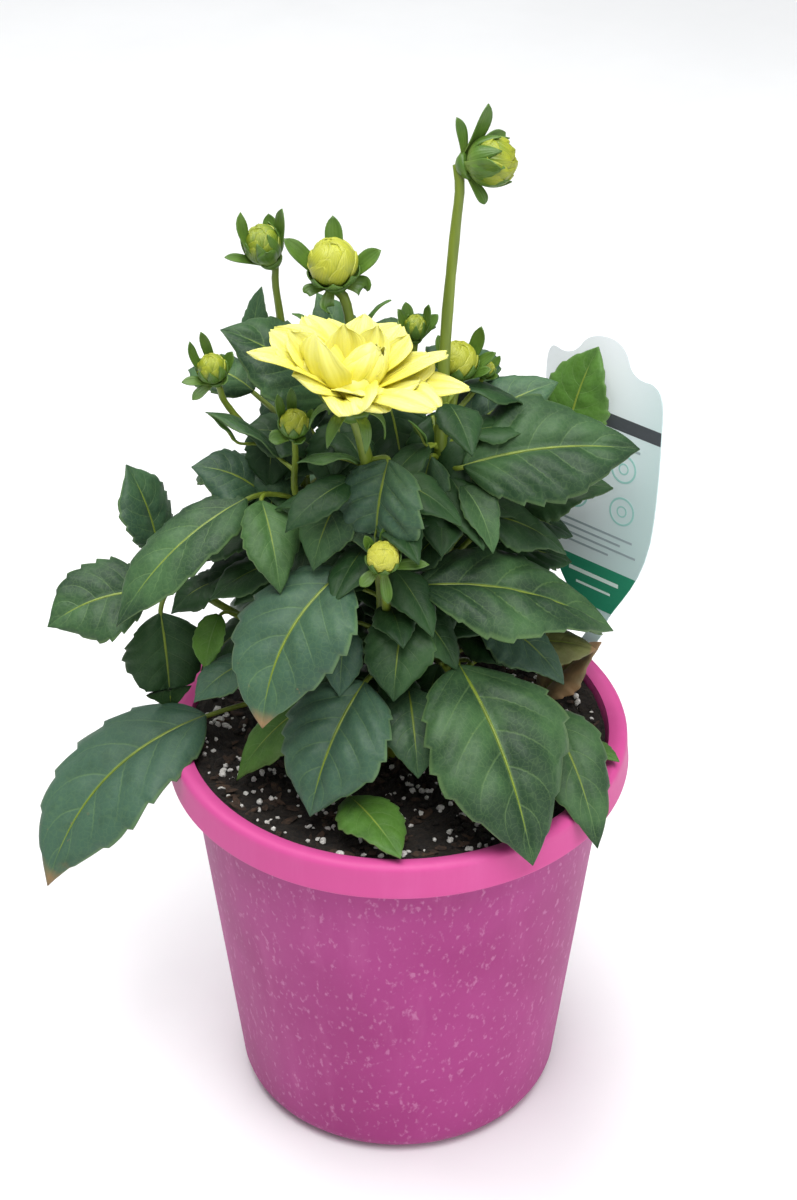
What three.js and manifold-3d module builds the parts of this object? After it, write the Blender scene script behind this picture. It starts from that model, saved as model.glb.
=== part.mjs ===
// A dahlia growing in a plastic nursery pot: pot, potting mix, leafy stems with their leaves,
// an open bloom, closed buds and a plant tag.
// Millimetres, +Z up, origin in the middle of the pot's flat base.
import * as THREE from 'three';
import { mergeVertices } from 'three/addons/utils/BufferGeometryUtils.js';
import Module from 'manifold-3d';

const wasm = await Module();
wasm.setup();

// Driving dimensions of the pot
const potHeight = 190;
const rimRadius = 100;
const baseRadius = 73;
const wall = 1.6;
const bandHeight = 15.5;
const bandThickness = 2.6;
const baseCorner = 11;
const drainSlot = { width: 3.6, inner: 48, outer: 60, count: 8 };

// Driving dimensions of what fills it
const soilBelowRim = 8;
const soilLevel = potHeight - soilBelowRim;
const gap = 0.35;
const stemDepth = 28;
const leafThickness = 0.8;
const neckHalf = 1.3;
const petioleSlope = 0.55;
const lowestFoot = 5;
const petalThickness = 0.8;

// Driving dimensions of the bloom, above the potting mix
const bloomSeat = [-18, -31, 183];
const bloomLean = 9;
const petalRoll = radians(14);
const petalFoot = 3.2;
const coreRadius = 7.5;

// Driving dimensions of the plant tag
const tag = {
  neck: [85, 29, 33],
  azimuth: 40,
  lean: 11,
  turn: -8,
  halfWidth: 30,
  height: 134,
  thickness: 0.8,
  spike: 62,
  spikeHalf: 5,
  spikeSlant: -24,
};

const materials = {
  pot: material(0xc4568f, 0.42),
  mix: material(0x2b211b, 0.95),
  leaf: material(0x4f7a4a, 0.55),
  petal: material(0xf4ef6e, 0.5),
  bud: material(0xb6c343, 0.5),
  tag: material(0xdfeae4, 0.3),
};

// Leafy stems. Every point is in millimetres from the middle of the mix's surface.
// A stalk is a list of points with the radius at its foot and at its top. A leaf grows from a
// stalk, at the height its petiole can rise from, and its blade runs from its neck to its tip.
// bow lifts its midrib, swing bends it to its right, roll turns its face to its right, cup lifts
// its edges and wave ripples them.
const leafyStems = {
  leafy_stem_right: {
    stalks: {
      main: {
        points: [[20, 8, -28], [20, 8, 6], [18, 8, 70], [17, 8, 132], [18.8, 7.5, 195], [22, 10, 238], [24, 11, 254]],
        radii: [3.6, 1.9],
      },
      side: { points: [[16, 10, 132], [20, 14, 150], [23, 17, 162]], radii: [1.8, 1.5] },
      twig: { points: [[20, 14, 150], [28, 19, 157]], radii: [1.2, 1.0] },
    },
    leaves: [
      { on: 'main', neck: [26, 0, 137], tip: [98, 6, 141], width: 54, bow: 5, roll: 26, fine: true },
      { on: 'main', neck: [24, 26, 132], tip: [66, 38, 154], width: 44, bow: 5, roll: 14 },
      { on: 'main', neck: [13, 2, 140], tip: [8, -8, 108], width: 28, bow: 4, roll: 0 },
      { on: 'main', neck: [70, 46, 136], tip: [82, 52, 165], width: 31, bow: 2, roll: 24 },
      { on: 'main', neck: [49, 26, 102], tip: [90, 26, 110], width: 34, bow: 5, roll: 10 },
      { on: 'main', neck: [30, 4, 112], tip: [70, 6, 90], width: 32, bow: 5, roll: 6 },
      { on: 'main', neck: [30, 4, 64], tip: [70, -12, 36], width: 34, bow: 6, roll: 10 },
      { on: 'main', neck: [25, -34, 62], tip: [54, -97, 8], width: 66, bow: 12, roll: 0 },
      { on: 'main', neck: [60, -22, 32], tip: [82, -73, -3], width: 34, bow: 10, roll: 6 },
      { on: 'main', neck: [76, -20, 9], tip: [93, -34, 13], width: 14, bow: 3, roll: 0 },
      { on: 'main', neck: [54, 16, 38], tip: [85, 15, 37], width: 22, bow: 4, roll: -16, cup: 0.3 },
      { on: 'main', neck: [26, -6, 131], tip: [38, -27, 112], width: 17, bow: 5, roll: 0, cup: 0.4 },
      { on: 'main', neck: [21, -5, 110], tip: [3, -15, 94], width: 26, bow: 3, roll: 0 },
      { on: 'main', neck: [46, 18, 58], tip: [88, 16, 42], width: 34, bow: 6, roll: -8 },
      { on: 'main', neck: [30, -16, 48], tip: [16, -50, 26], width: 26, bow: 4, roll: 0 },
      { on: 'main', neck: [36, 22, 88], tip: [68, 30, 66], width: 32, bow: 5, roll: 0 },
    ],
    buds: [
      { on: 'main', centre: [35, 9, 264], axis: [0.93, -0.25, 0.25], radius: 9.5, bracts: 5, length: 17, open: 0.5 },
      { on: 'side', centre: [24, 18, 176], axis: [0.15, -0.1, 0.98], radius: 7.6, bracts: 5, length: 15, open: 0.5 },
      { on: 'twig', centre: [36, 22, 169.5], axis: [0.4, 0, 0.9], radius: 3.2, bracts: 3, length: 8, open: 0.4 },
    ],
  },
  leafy_stem_left: {
    stalks: {
      main: {
        points: [[-22, 8, -28], [-22, 8, 8], [-30, 12, 60], [-38, 20, 110], [-44, 30, 160], [-47, 34, 188], [-49, 33, 203]],
        radii: [3.4, 1.4],
      },
      side: { points: [[-39, 21, 115], [-56, 12, 140], [-70, 6, 164]], radii: [1.6, 1.3] },
      front: { points: [[-37, 18, 104], [-42, -2, 126], [-41, -13, 150]], radii: [1.6, 1.2] },
      low: { points: [[-25, 9, 30], [-60, 14, 48], [-92, 20, 66]], radii: [2.2, 1.5] },
    },
    leaves: [
      { on: 'main', neck: [-62, -4, 124], tip: [-114, -38, 84], width: 40, bow: 8, roll: 0 },
      { on: 'main', neck: [-56, 8, 119], tip: [-90, 10, 124], width: 32, bow: 4, roll: -12 },
      { on: 'main', neck: [-60, 2, 112], tip: [-88, -4, 112], width: 18, bow: 3, roll: 0 },
      { on: 'main', neck: [-38, 18, 122], tip: [-68, 18, 121], width: 36, bow: 4, roll: -10 },
      { on: 'main', neck: [-50, 14, 82], tip: [-84, 8, 70], width: 36, bow: 4, roll: 0 },
      { on: 'front', neck: [-55, -14, 129], tip: [-47, -44, 104], width: 26, bow: 6, roll: -6 },
      { on: 'low', neck: [-102, 24, 82], tip: [-114, 32, 118], width: 34, bow: 3, roll: 0 },
      { on: 'low', neck: [-107, 10, 68], tip: [-148, 0, 65], width: 38, bow: 5, roll: -26 },
      { on: 'low', neck: [-102, 18, 52], tip: [-99, 6, 10], width: 38, bow: 6, roll: 0 },
      { on: 'main', neck: [-82, -1, 17], tip: [-143, -51, -43], width: 63, bow: 13, swing: 5, roll: 0, fine: true },
      { on: 'main', neck: [-60, -4, 44], tip: [-86, -22, 34], width: 26, bow: 4, roll: 0 },
      { on: 'low', neck: [-76, 8, 58], tip: [-82, -4, 38], width: 16, bow: 3, roll: 0, cup: 0.4 },
      { on: 'main', neck: [-44, 0, 92], tip: [-78, -10, 78], width: 28, bow: 4, roll: 0 },
      { on: 'main', neck: [-44, -6, 70], tip: [-68, -20, 50], width: 30, bow: 4, roll: 0 },
      { on: 'main', neck: [-27, 2, 106], tip: [-54, 4, 120], width: 34, bow: 4, roll: 0 },
      { on: 'main', neck: [-52, 18, 96], tip: [-92, 14, 86], width: 42, bow: 5, roll: 0 },
      { on: 'main', neck: [-60, 38, 150], tip: [-88, 52, 152], width: 34, bow: 5, roll: 0 },
      { on: 'main', neck: [-34, 12, 138], tip: [-64, 12, 146], width: 38, bow: 4, roll: 0 },
      { on: 'front', neck: [-48, -4, 144], tip: [-77, 0, 162], width: 16, bow: 4, roll: 16 },
      { on: 'side', neck: [-66, 6, 146], tip: [-76, 2, 160], width: 8, bow: 1, roll: 0 },
      { on: 'main', neck: [-60, 42, 168], tip: [-56, 50, 192], width: 18, bow: 2, roll: 0 },
      { on: 'main', neck: [-62, 40, 124], tip: [-98, 62, 116], width: 42, bow: 6, roll: 6 },
      { on: 'main', neck: [-62, 34, 76], tip: [-106, 60, 58], width: 44, bow: 7, roll: -6 },
    ],
    buds: [
      { on: 'main', centre: [-54.5, 33, 220], axis: [-0.15, -0.1, 0.97], radius: 7.8, bracts: 5, length: 15, open: 0.35 },
      { on: 'side', centre: [-74, 4, 180], axis: [-0.25, -0.1, 0.95], radius: 5.8, bracts: 5, length: 14, open: 0.8 },
      { on: 'front', centre: [-41, -17, 167], axis: [0, -0.15, 0.98], radius: 5.6, bracts: 4, length: 12, open: 0.8 },
    ],
  },
  leafy_stem_front: {
    stalks: {
      main: {
        points: [[-2, -14, -28], [-2, -14, 6], [-5, -15, 60], [-8, -18, 110], [-12, -26, 152], [-15, -30, 170]],
        radii: [3.6, 2.4],
      },
      low: { points: [[-5, -15, 62], [-5, -32, 90], [-6, -44, 112]], radii: [2, 1.6] },
    },
    leaves: [
      { on: 'low', neck: [7, -26, 94], tip: [89, -18, 66], width: 46, bow: 9, roll: 10, fine: true },
      { on: 'main', neck: [-22, -36, 110], tip: [-54, -77, 62], width: 58, bow: 9, swing: 4, roll: 0, fine: true },
      { on: 'main', neck: [-22, -26, 76], tip: [-24, -48, 56], width: 20, bow: 3, roll: 0 },
      { on: 'main', neck: [-28, -30, 46], tip: [-68, -42, 8], width: 32, bow: 6, roll: 0 },
      { on: 'main', neck: [-14, -40, 58], tip: [-36, -77, 17], width: 54, bow: 8, roll: 0 },
      { on: 'main', neck: [-20, -60, 14], tip: [1, -97, 12], width: 28, bow: 3, roll: 0 },
      { on: 'main', neck: [-4, -30, 158], tip: [-8, -40, 117], width: 44, bow: 7, roll: 10, fine: true },
      { on: 'main', neck: [-15, -22, 152], tip: [-40, -24, 153], width: 21, bow: 3, roll: 24 },
      { on: 'main', neck: [-20, -20, 140], tip: [-34, -41, 113], width: 28, bow: 5, roll: 0 },
      { on: 'main', neck: [4, -33, 50], tip: [8, -66, 28], width: 32, bow: 5, roll: 0 },
      { on: 'main', neck: [2, -28, 84], tip: [-2, -54, 58], width: 32, bow: 5, roll: 0 },
      { on: 'main', neck: [4, -22, 84], tip: [24, -38, 62], width: 26, bow: 4, roll: 0 },
    ],
    buds: [
      { on: 'low', centre: [-6, -52, 127], axis: [0.05, -0.45, 0.89], radius: 6.2, bracts: 5, length: 13, open: 0.9 },
    ],
    bloomOn: 'main',
  },
  leafy_stem_back: {
    stalks: {
      main: {
        points: [[-6, 28, -28], [-6, 28, 6], [-10, 29, 70], [-14, 28, 130], [-19, 22, 188], [-22, 21, 203]],
        radii: [3.6, 2],
      },
      side: { points: [[-13, 28, 110], [0, 37, 145], [6, 38, 166]], radii: [1.7, 1.4] },
    },
    leaves: [
      { on: 'main', neck: [-30, 14, 158], tip: [-71, 17, 190], width: 44, bow: 6, roll: -22, fine: true },
      { on: 'main', neck: [-4, 20, 118], tip: [4, 8, 98], width: 20, bow: 4, roll: 0 },
      { on: 'main', neck: [-20, 46, 156], tip: [-34, 64, 182], width: 26, bow: 4, roll: 0 },
      { on: 'main', neck: [-30, 16, 190], tip: [-42, 12, 200], width: 7, bow: 1, roll: 0 },
      { on: 'main', neck: [-12, 16, 196], tip: [-3, 12, 206], width: 8, bow: 1, roll: 0 },
    ],
    buds: [
      { on: 'main', centre: [-25, 20, 218], axis: [-0.1, -0.2, 0.97], radius: 10.2, bracts: 5, length: 18, open: 0.95 },
      { on: 'side', centre: [7, 38, 180], axis: [0.05, 0, 1], radius: 5, bracts: 4, length: 14, open: 0.3 },
    ],
  },
};

// The back stem's foliage is set by a rule: tiers of leaves that fan out over the back of the pot.
// Each tier has its first and last azimuth in degrees, leaf count, and the radius and height of
// its necks and tips. Every other leaf of a tier stands a step higher.
const backTiers = [
  { from: 46, to: 142, count: 4, neck: [44, 34], tip: [112, 12], width: 52 },
  { from: 58, to: 124, count: 4, neck: [44, 80], tip: [104, 60], width: 46 },
  { from: 52, to: 136, count: 4, neck: [50, 116], tip: [96, 122], width: 42 },
  { from: 62, to: 118, count: 3, neck: [42, 150], tip: [80, 150], width: 34 },
];
const tierStep = 17;

function material(color, roughness) {
  return new THREE.MeshStandardMaterial({ color, roughness, metalness: 0 });
}

function vector(point) {
  return new THREE.Vector3(...point);
}

function radians(degrees) {
  return THREE.MathUtils.degToRad(degrees);
}

// A closed solid of a geometry, its shared corners merged.
function solid(geometry) {
  const bare = geometry.clone();
  bare.deleteAttribute('normal');
  bare.deleteAttribute('uv');
  const merged = mergeVertices(bare.index ? bare.toNonIndexed() : bare, 1e-4);
  const mesh = new wasm.Mesh({
    numProp: 3,
    vertProperties: new Float32Array(merged.attributes.position.array),
    triVerts: new Uint32Array(merged.index.array),
  });
  return new wasm.Manifold(mesh);
}

function geometryOf(manifold) {
  const mesh = manifold.getMesh();
  const geometry = new THREE.BufferGeometry();
  geometry.setAttribute('position', new THREE.Float32BufferAttribute(mesh.vertProperties, 3));
  geometry.setIndex(new THREE.Uint32BufferAttribute(mesh.triVerts, 1));
  geometry.computeVertexNormals();
  return geometry;
}

function joined(solids) {
  return solids.reduce((whole, next) => whole.add(next));
}

function named(name, geometry, surface) {
  const mesh = new THREE.Mesh(geometry, surface);
  mesh.name = name;
  return mesh;
}

// A geometry from rings of points, each ring the same length, with flat ends.
function loft(rings) {
  const sides = rings[0].length;
  const last = rings.length - 1;
  const triangles = [];
  const quad = (a, b, c, d) => triangles.push(a, b, c, a, c, d);
  for (let i = 0; i < last; i += 1) {
    for (let j = 0; j < sides; j += 1) {
      const k = (j + 1) % sides;
      quad(rings[i][j], rings[i][k], rings[i + 1][k], rings[i + 1][j]);
    }
  }
  for (let j = 1; j < sides - 1; j += 1) {
    triangles.push(rings[0][0], rings[0][j + 1], rings[0][j]);
    triangles.push(rings[last][0], rings[last][j], rings[last][j + 1]);
  }
  return new THREE.BufferGeometry().setFromPoints(triangles);
}

// A tube that tapers along a curve.
function tube(curve, steps, radii, sides) {
  const frames = curve.computeFrenetFrames(steps, false);
  const rings = [];
  for (let i = 0; i <= steps; i += 1) {
    const share = i / steps;
    const centre = curve.getPointAt(share);
    const radius = THREE.MathUtils.lerp(radii[0], radii[1], share);
    const ring = [];
    for (let j = 0; j < sides; j += 1) {
      const angle = (2 * Math.PI * j) / sides;
      ring.push(centre.clone()
        .addScaledVector(frames.normals[i], radius * Math.cos(angle))
        .addScaledVector(frames.binormals[i], radius * Math.sin(angle)));
    }
    rings.push(ring);
  }
  return solid(loft(rings));
}

// A thin blade from rows of points across it, the last of them a single point at its tip. Each row
// has the direction its face looks in, its thickness and how far its rib stands out below. Both
// faces are split into triangles alike.
function blade(rows) {
  const triangles = [];
  const upper = rows.map(({ points }) => points);
  const lower = rows.map(({ points, face, thickness, rib = 0 }) => points.map((point, j) => {
    const middle = points.length > 1 && j === (points.length - 1) / 2;
    return point.clone().addScaledVector(face, -thickness - (middle ? rib : 0));
  }));
  const tipUp = upper[upper.length - 1][0];
  const tipDown = lower[lower.length - 1][0];
  const full = upper.length - 1;
  const across = upper[0].length;
  const face = (a, b, c, flip) => triangles.push(...(flip ? [a, c, b] : [a, b, c]));
  for (const [sheet, tip, flip] of [[upper, tipUp, false], [lower, tipDown, true]]) {
    for (let i = 0; i < full - 1; i += 1) {
      for (let j = 0; j < across - 1; j += 1) {
        const [a, b, c, d] = [sheet[i][j], sheet[i + 1][j], sheet[i + 1][j + 1], sheet[i][j + 1]];
        if (j < (across - 1) / 2) {
          face(a, c, b, flip);
          face(a, d, c, flip);
        } else {
          face(a, d, b, flip);
          face(b, d, c, flip);
        }
      }
    }
    for (let j = 0; j < across - 1; j += 1) {
      face(sheet[full - 1][j], sheet[full - 1][j + 1], tip, flip);
    }
  }
  const edge = (a, b, c, d) => triangles.push(a, b, c, a, c, d);
  for (let i = 0; i < full - 1; i += 1) {
    edge(upper[i][0], upper[i + 1][0], lower[i + 1][0], lower[i][0]);
    edge(upper[i + 1][across - 1], upper[i][across - 1], lower[i][across - 1], lower[i + 1][across - 1]);
  }
  edge(upper[full - 1][0], tipUp, tipDown, lower[full - 1][0]);
  edge(tipUp, upper[full - 1][across - 1], lower[full - 1][across - 1], tipDown);
  for (let j = 0; j < across - 1; j += 1) {
    edge(upper[0][j + 1], upper[0][j], lower[0][j], lower[0][j + 1]);
  }
  return solid(new THREE.BufferGeometry().setFromPoints(triangles));
}

// The midrib of a leaf or petal: an arc from neck to tip, lifted by bow and bent to its right by swing.
function midribOf({ neck, tip, bow = 4, swing = 0 }) {
  const start = vector(neck);
  const end = vector(tip);
  const { right, face } = facing(end.clone().sub(start).normalize(), 0);
  const bend = start.clone().add(end).multiplyScalar(0.5);
  bend.addScaledVector(face, 2 * bow).addScaledVector(right, 2 * swing);
  return new THREE.QuadraticBezierCurve3(start, bend, end);
}

// How wide a leaf is along its length, from 0 to 1: broadest before its middle, pointed at its tip.
function leafOutline(share) {
  const peak = 0.4;
  const rise = 0.7;
  const fall = rise * (1 - peak) / peak;
  return (share / peak) ** rise * ((1 - share) / (1 - peak)) ** fall;
}

// The directions to the right of a curve and square to its face, level across but for a roll.
function facing(along, roll) {
  const level = new THREE.Vector3().crossVectors(along, new THREE.Vector3(0, 0, 1)).normalize();
  const above = new THREE.Vector3().crossVectors(level, along);
  const right = level.clone().multiplyScalar(Math.cos(roll)).addScaledVector(above, -Math.sin(roll));
  const face = above.clone().multiplyScalar(Math.cos(roll)).addScaledVector(level, Math.sin(roll));
  return { right, face };
}

// Rows of points across a leaf blade, with teeth along its edges.
function leafRows(leaf, stations) {
  const { width, roll = 0, cup = 0, wave = 1.6, fine = false } = leaf;
  const curve = midribOf(leaf);
  const across = fine ? [-1, -0.5, 0, 0.5, 1] : [-1, 0, 1];
  const rows = [];
  for (let i = 0; i <= stations; i += 1) {
    const share = i / stations;
    const centre = curve.getPoint(share);
    const { right, face } = facing(curve.getTangent(share), radians(roll));
    const tooth = i % 2 === 0 && i > 0 ? 0.88 : 1;
    const half = Math.max(neckHalf, 0.5 * width * leafOutline(share));
    const points = (i === stations ? [0] : across).map((v) => {
      const reach = half * v * (Math.abs(v) === 1 ? tooth : 1);
      const dome = half * (0.22 * Math.abs(v) - 0.26 * v * v) + cup * half * v * v;
      const ripple = wave * Math.sin(2 * Math.PI * (1.4 * share + 0.2 * v)) * v * v * Math.min(1, half / 12);
      return centre.clone().addScaledVector(right, reach).addScaledVector(face, dome + ripple);
    });
    const rib = (1 - share) * Math.min(1, width / 26);
    rows.push({ points, face, thickness: leafThickness, rib });
  }
  return rows;
}

// The point of a stalk from which a petiole rises to a neck with the set slope.
function footOf(stalkCurve, neck) {
  const points = stalkCurve.getSpacedPoints(60).filter(({ z }) => z > lowestFoot);
  const miss = (point) => {
    const away = Math.hypot(point.x - neck.x, point.y - neck.y);
    return Math.abs(neck.z - point.z - petioleSlope * away) + 0.3 * away;
  };
  return points.reduce((best, point) => (miss(point) < miss(best) ? point : best));
}

// A leaf with the petiole that carries it, which is thick and narrow and runs on as its midrib.
function leafSolid(leaf, stalkCurve) {
  const neck = vector(leaf.neck);
  const foot = footOf(stalkCurve, neck);
  const reach = foot.distanceTo(neck);
  const out = neck.clone().sub(foot).setZ(0).normalize();
  const leave = foot.clone().addScaledVector(out, reach * 0.25);
  leave.z += reach * 0.25;
  const arrive = neck.clone().addScaledVector(midribOf(leaf).getTangent(0), -reach * 0.3);
  const route = new THREE.CubicBezierCurve3(foot, leave, arrive, neck);
  const across = leaf.fine ? [-1, -0.5, 0, 0.5, 1] : [-1, 0, 1];
  const petiole = [0, 0.5].map((share) => {
    const { right, face } = facing(route.getTangent(share), radians(leaf.roll ?? 0) * share);
    const points = across.map((v) => route.getPoint(share).addScaledVector(right, neckHalf * v));
    return { points, face, thickness: THREE.MathUtils.lerp(2.4, 1.4, share), rib: 0.5 };
  });
  return blade([...petiole, ...leafRows(leaf, leafStations(leaf))]);
}

function leafStations({ fine }) {
  return fine ? 7 : 5;
}

// Two directions square to an axis.
function squareTo(axis) {
  const hint = Math.abs(axis.z) > 0.9 ? new THREE.Vector3(1, 0, 0) : new THREE.Vector3(0, 0, 1);
  const first = new THREE.Vector3().crossVectors(hint, axis).normalize();
  const second = new THREE.Vector3().crossVectors(axis, first);
  return [first, second];
}

// A point beside an axis: a distance along it, a distance out from it and an angle round it.
function roundAxis(centre, axis, along, out, angle) {
  const [first, second] = squareTo(axis);
  return centre.clone().addScaledVector(axis, along)
    .addScaledVector(first, out * Math.cos(angle))
    .addScaledVector(second, out * Math.sin(angle));
}

// A green cup that carries a bud or bloom, with a flat top.
function cup(top, axis, topRadius, footRadius, depth) {
  const sides = 6;
  const profile = [[-depth, footRadius], [-depth * 0.4, topRadius * 0.85], [0, topRadius]];
  const rings = profile.map(([along, out]) => Array.from({ length: sides }, (_, j) => (
    roundAxis(top, axis, along, out, (2 * Math.PI * j) / sides)
  )));
  return solid(loft(rings));
}

// A narrow bract that leaves a cup and curls round or away from what the cup carries.
function bract(start, bend, end, width, face) {
  const curve = new THREE.QuadraticBezierCurve3(start, bend, end);
  const shape = [0.7, 1, 0];
  return blade(shape.map((broad, i) => {
    const centre = curve.getPoint(i / 2);
    const along = curve.getTangent(i / 2);
    const right = new THREE.Vector3().crossVectors(along, face).normalize();
    const above = new THREE.Vector3().crossVectors(right, along);
    const half = 0.5 * width * broad;
    const points = (broad > 0 ? [-1, 0, 1] : [0]).map((v) => (
      centre.clone().addScaledVector(right, half * v).addScaledVector(above, 0.25 * half * Math.abs(v))));
    return { points, face: above, thickness: leafThickness };
  }));
}

function budSeat({ centre, axis, radius }) {
  return vector(centre).addScaledVector(vector(axis).normalize(), -(radius + gap));
}

// The green part of a bud: its cup and its bracts. open is 0 where they hug the bud, 1 where they spread.
function budCalyx(bud) {
  const axis = vector(bud.axis).normalize();
  const centre = vector(bud.centre);
  const top = budSeat(bud);
  const r = bud.radius;
  const parts = [cup(top, axis, 0.62 * r, 1.2, 0.55 * r)];
  for (let i = 0; i < bud.bracts; i += 1) {
    const angle = (2 * Math.PI * (i + 0.25)) / bud.bracts;
    const spread = bud.open;
    const start = roundAxis(top, axis, -0.12 * r, 0.4 * r, angle);
    const bend = roundAxis(centre, axis, -0.75 * r, 1.45 * r, angle);
    const end = roundAxis(centre, axis, -0.75 * r + bud.length * (1 - 0.75 * spread),
      1.2 * r + bud.length * 0.75 * spread, angle);
    const face = roundAxis(centre, axis, 0, 1, angle).sub(centre).multiplyScalar(-1).addScaledVector(axis, 0.6);
    parts.push(bract(start, bend, end, Math.min(8, 0.85 * r), face));
  }
  return joined(parts);
}

// A closed bud: a ball with the folds of its outer petals.
function budBall({ centre, axis, radius }) {
  const up = vector(axis).normalize();
  const middle = vector(centre);
  const sides = radius > 5 ? 8 : 6;
  const rings = [];
  const tiers = radius > 5 ? 5 : 4;
  for (let i = 0; i <= tiers; i += 1) {
    const angle = THREE.MathUtils.lerp(-0.46, 0.44, i / tiers) * Math.PI;
    const fold = i % 2 === 0 ? 1 : 0.97;
    rings.push(Array.from({ length: sides }, (_, j) => {
      const lobe = radius * fold * (j % 2 === 0 ? 1 : 0.94);
      return roundAxis(middle, up, radius * Math.sin(angle), lobe * Math.cos(angle),
        (2 * Math.PI * (j + 0.5 * i)) / sides);
    }));
  }
  return solid(loft(rings));
}

// A leafy stem: its stalks, leaves, cups and bracts as one solid.
function leafyStem(stem) {
  const curves = {};
  const parts = [];
  for (const [key, stalk] of Object.entries(stem.stalks)) {
    const points = stalk.points.map(vector);
    const bud = stem.buds.find(({ on }) => on === key);
    if (bud) {
      const axis = vector(bud.axis).normalize();
      points.push(budSeat(bud).addScaledVector(axis, -4.5), budSeat(bud).addScaledVector(axis, -0.4));
    }
    if (stem.bloomOn === key) points.push(vector(bloomSeat).add(new THREE.Vector3(0, 0, -1)));
    curves[key] = new THREE.CatmullRomCurve3(points);
    parts.push(tube(curves[key], points.length + 1, stalk.radii, key === 'main' ? 6 : 5));
  }
  for (const leaf of stem.leaves) parts.push(leafSolid(leaf, curves[leaf.on]));
  for (const bud of stem.buds) parts.push(budCalyx(bud));
  if (stem.bloomOn) parts.push(bloomCalyx());
  return joined(parts);
}

// Stands what is built upright about the origin on the bloom's seat, leaning as the bloom does.
function seated(manifold) {
  return manifold.rotate([0, bloomLean, 0]).translate(bloomSeat);
}

// The green cup under the bloom, with bracts that hang below it.
function bloomCalyx() {
  const axis = new THREE.Vector3(0, 0, 1);
  const top = new THREE.Vector3();
  const parts = [cup(top, axis, 8, 2.2, 7)];
  const count = 6;
  for (let i = 0; i < count; i += 1) {
    const angle = (2 * Math.PI * (i + 0.5)) / count;
    const start = roundAxis(top, axis, -1.6, 5, angle);
    const bend = roundAxis(top, axis, -1, 14, angle);
    const end = roundAxis(top, axis, -13, 15, angle);
    const face = roundAxis(top, axis, 0.8, 1, angle);
    parts.push(bract(start, bend, end, 6, face));
  }
  return seated(joined(parts));
}

// Each petal: its tip from the middle of the seat, its width, how far its middle arches up (or, below
// 0, bellies out), how far its edges lift or drop, how high its foot is on the bloom's core, the azimuth
// that its back faces (the tip's own unless given), and whether its tip is broad.
const petals = [
  { tip: [-39, -4, 27], width: 21, bow: 4, fold: 0.3, lift: 2, faces: 168 },
  { tip: [-31, 12, 27], width: 22, bow: 3, fold: 0.25, lift: 2, faces: 145 },
  { tip: [-18, 24, 27], width: 21, bow: 3, fold: 0.2, lift: 2 },
  { tip: [-9, 27, 24], width: 18, bow: 2, fold: 0.2, lift: 2 },
  { tip: [5, 30, 24], width: 19, bow: 2, fold: 0.2, lift: 2 },
  { tip: [19, 26, 22], width: 20, bow: 3, fold: 0.2, lift: 2 },
  { tip: [36, 9, 26], width: 23, bow: 3, fold: 0.25, lift: 2, faces: 38 },
  { tip: [45, -11, 18], width: 19, bow: 4, fold: 0.25, lift: 2, faces: 8 },
  { tip: [33, -22, 14], width: 24, bow: 5, fold: -0.05, lift: 2, broad: true },
  { tip: [14, -22, 11], width: 20, bow: 4, fold: 0, lift: 2 },
  { tip: [-1, -26, 11], width: 22, bow: 4, fold: 0.1, lift: 2, broad: true },
  { tip: [-22, -11, 20], width: 20, bow: 3, fold: 0.3, lift: 2 },
  { tip: [-14, -3, 33], width: 23, bow: -6, fold: 0.4, lift: 4, faces: 225 },
  { tip: [-24, 5, 30], width: 20, bow: -1, fold: 0.35, lift: 4, faces: 145 },
  { tip: [3, 15, 28], width: 19, bow: -2, fold: 0.3, lift: 4 },
  { tip: [22, 11, 25], width: 16, bow: 0, fold: 0.35, lift: 4, faces: 52 },
  { tip: [29, 1, 24], width: 18, bow: 1, fold: 0.3, lift: 4, faces: 38 },
  { tip: [27, -9, 18], width: 18, bow: 2, fold: 0.25, lift: 3, faces: 12 },
];

// The closed middle: a ring of incurved petals whose tips meet.
const heart = { at: [9, 3, 25], count: 5, first: 262, apart: 4.5, drop: 1, width: 14, bow: -4.5, fold: 0.85, lift: 5 };

function level(azimuth) {
  return new THREE.Vector3(Math.cos(radians(azimuth)), Math.sin(radians(azimuth)), 0);
}

function heartPetals() {
  return Array.from({ length: heart.count }, (_, k) => {
    const faces = heart.first + (360 * k) / heart.count;
    const tip = level(faces).multiplyScalar(heart.apart).add(vector(heart.at));
    tip.z -= heart.drop + 1.5 * (k % 2);
    return { ...heart, tip: tip.toArray(), faces };
  });
}

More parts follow.
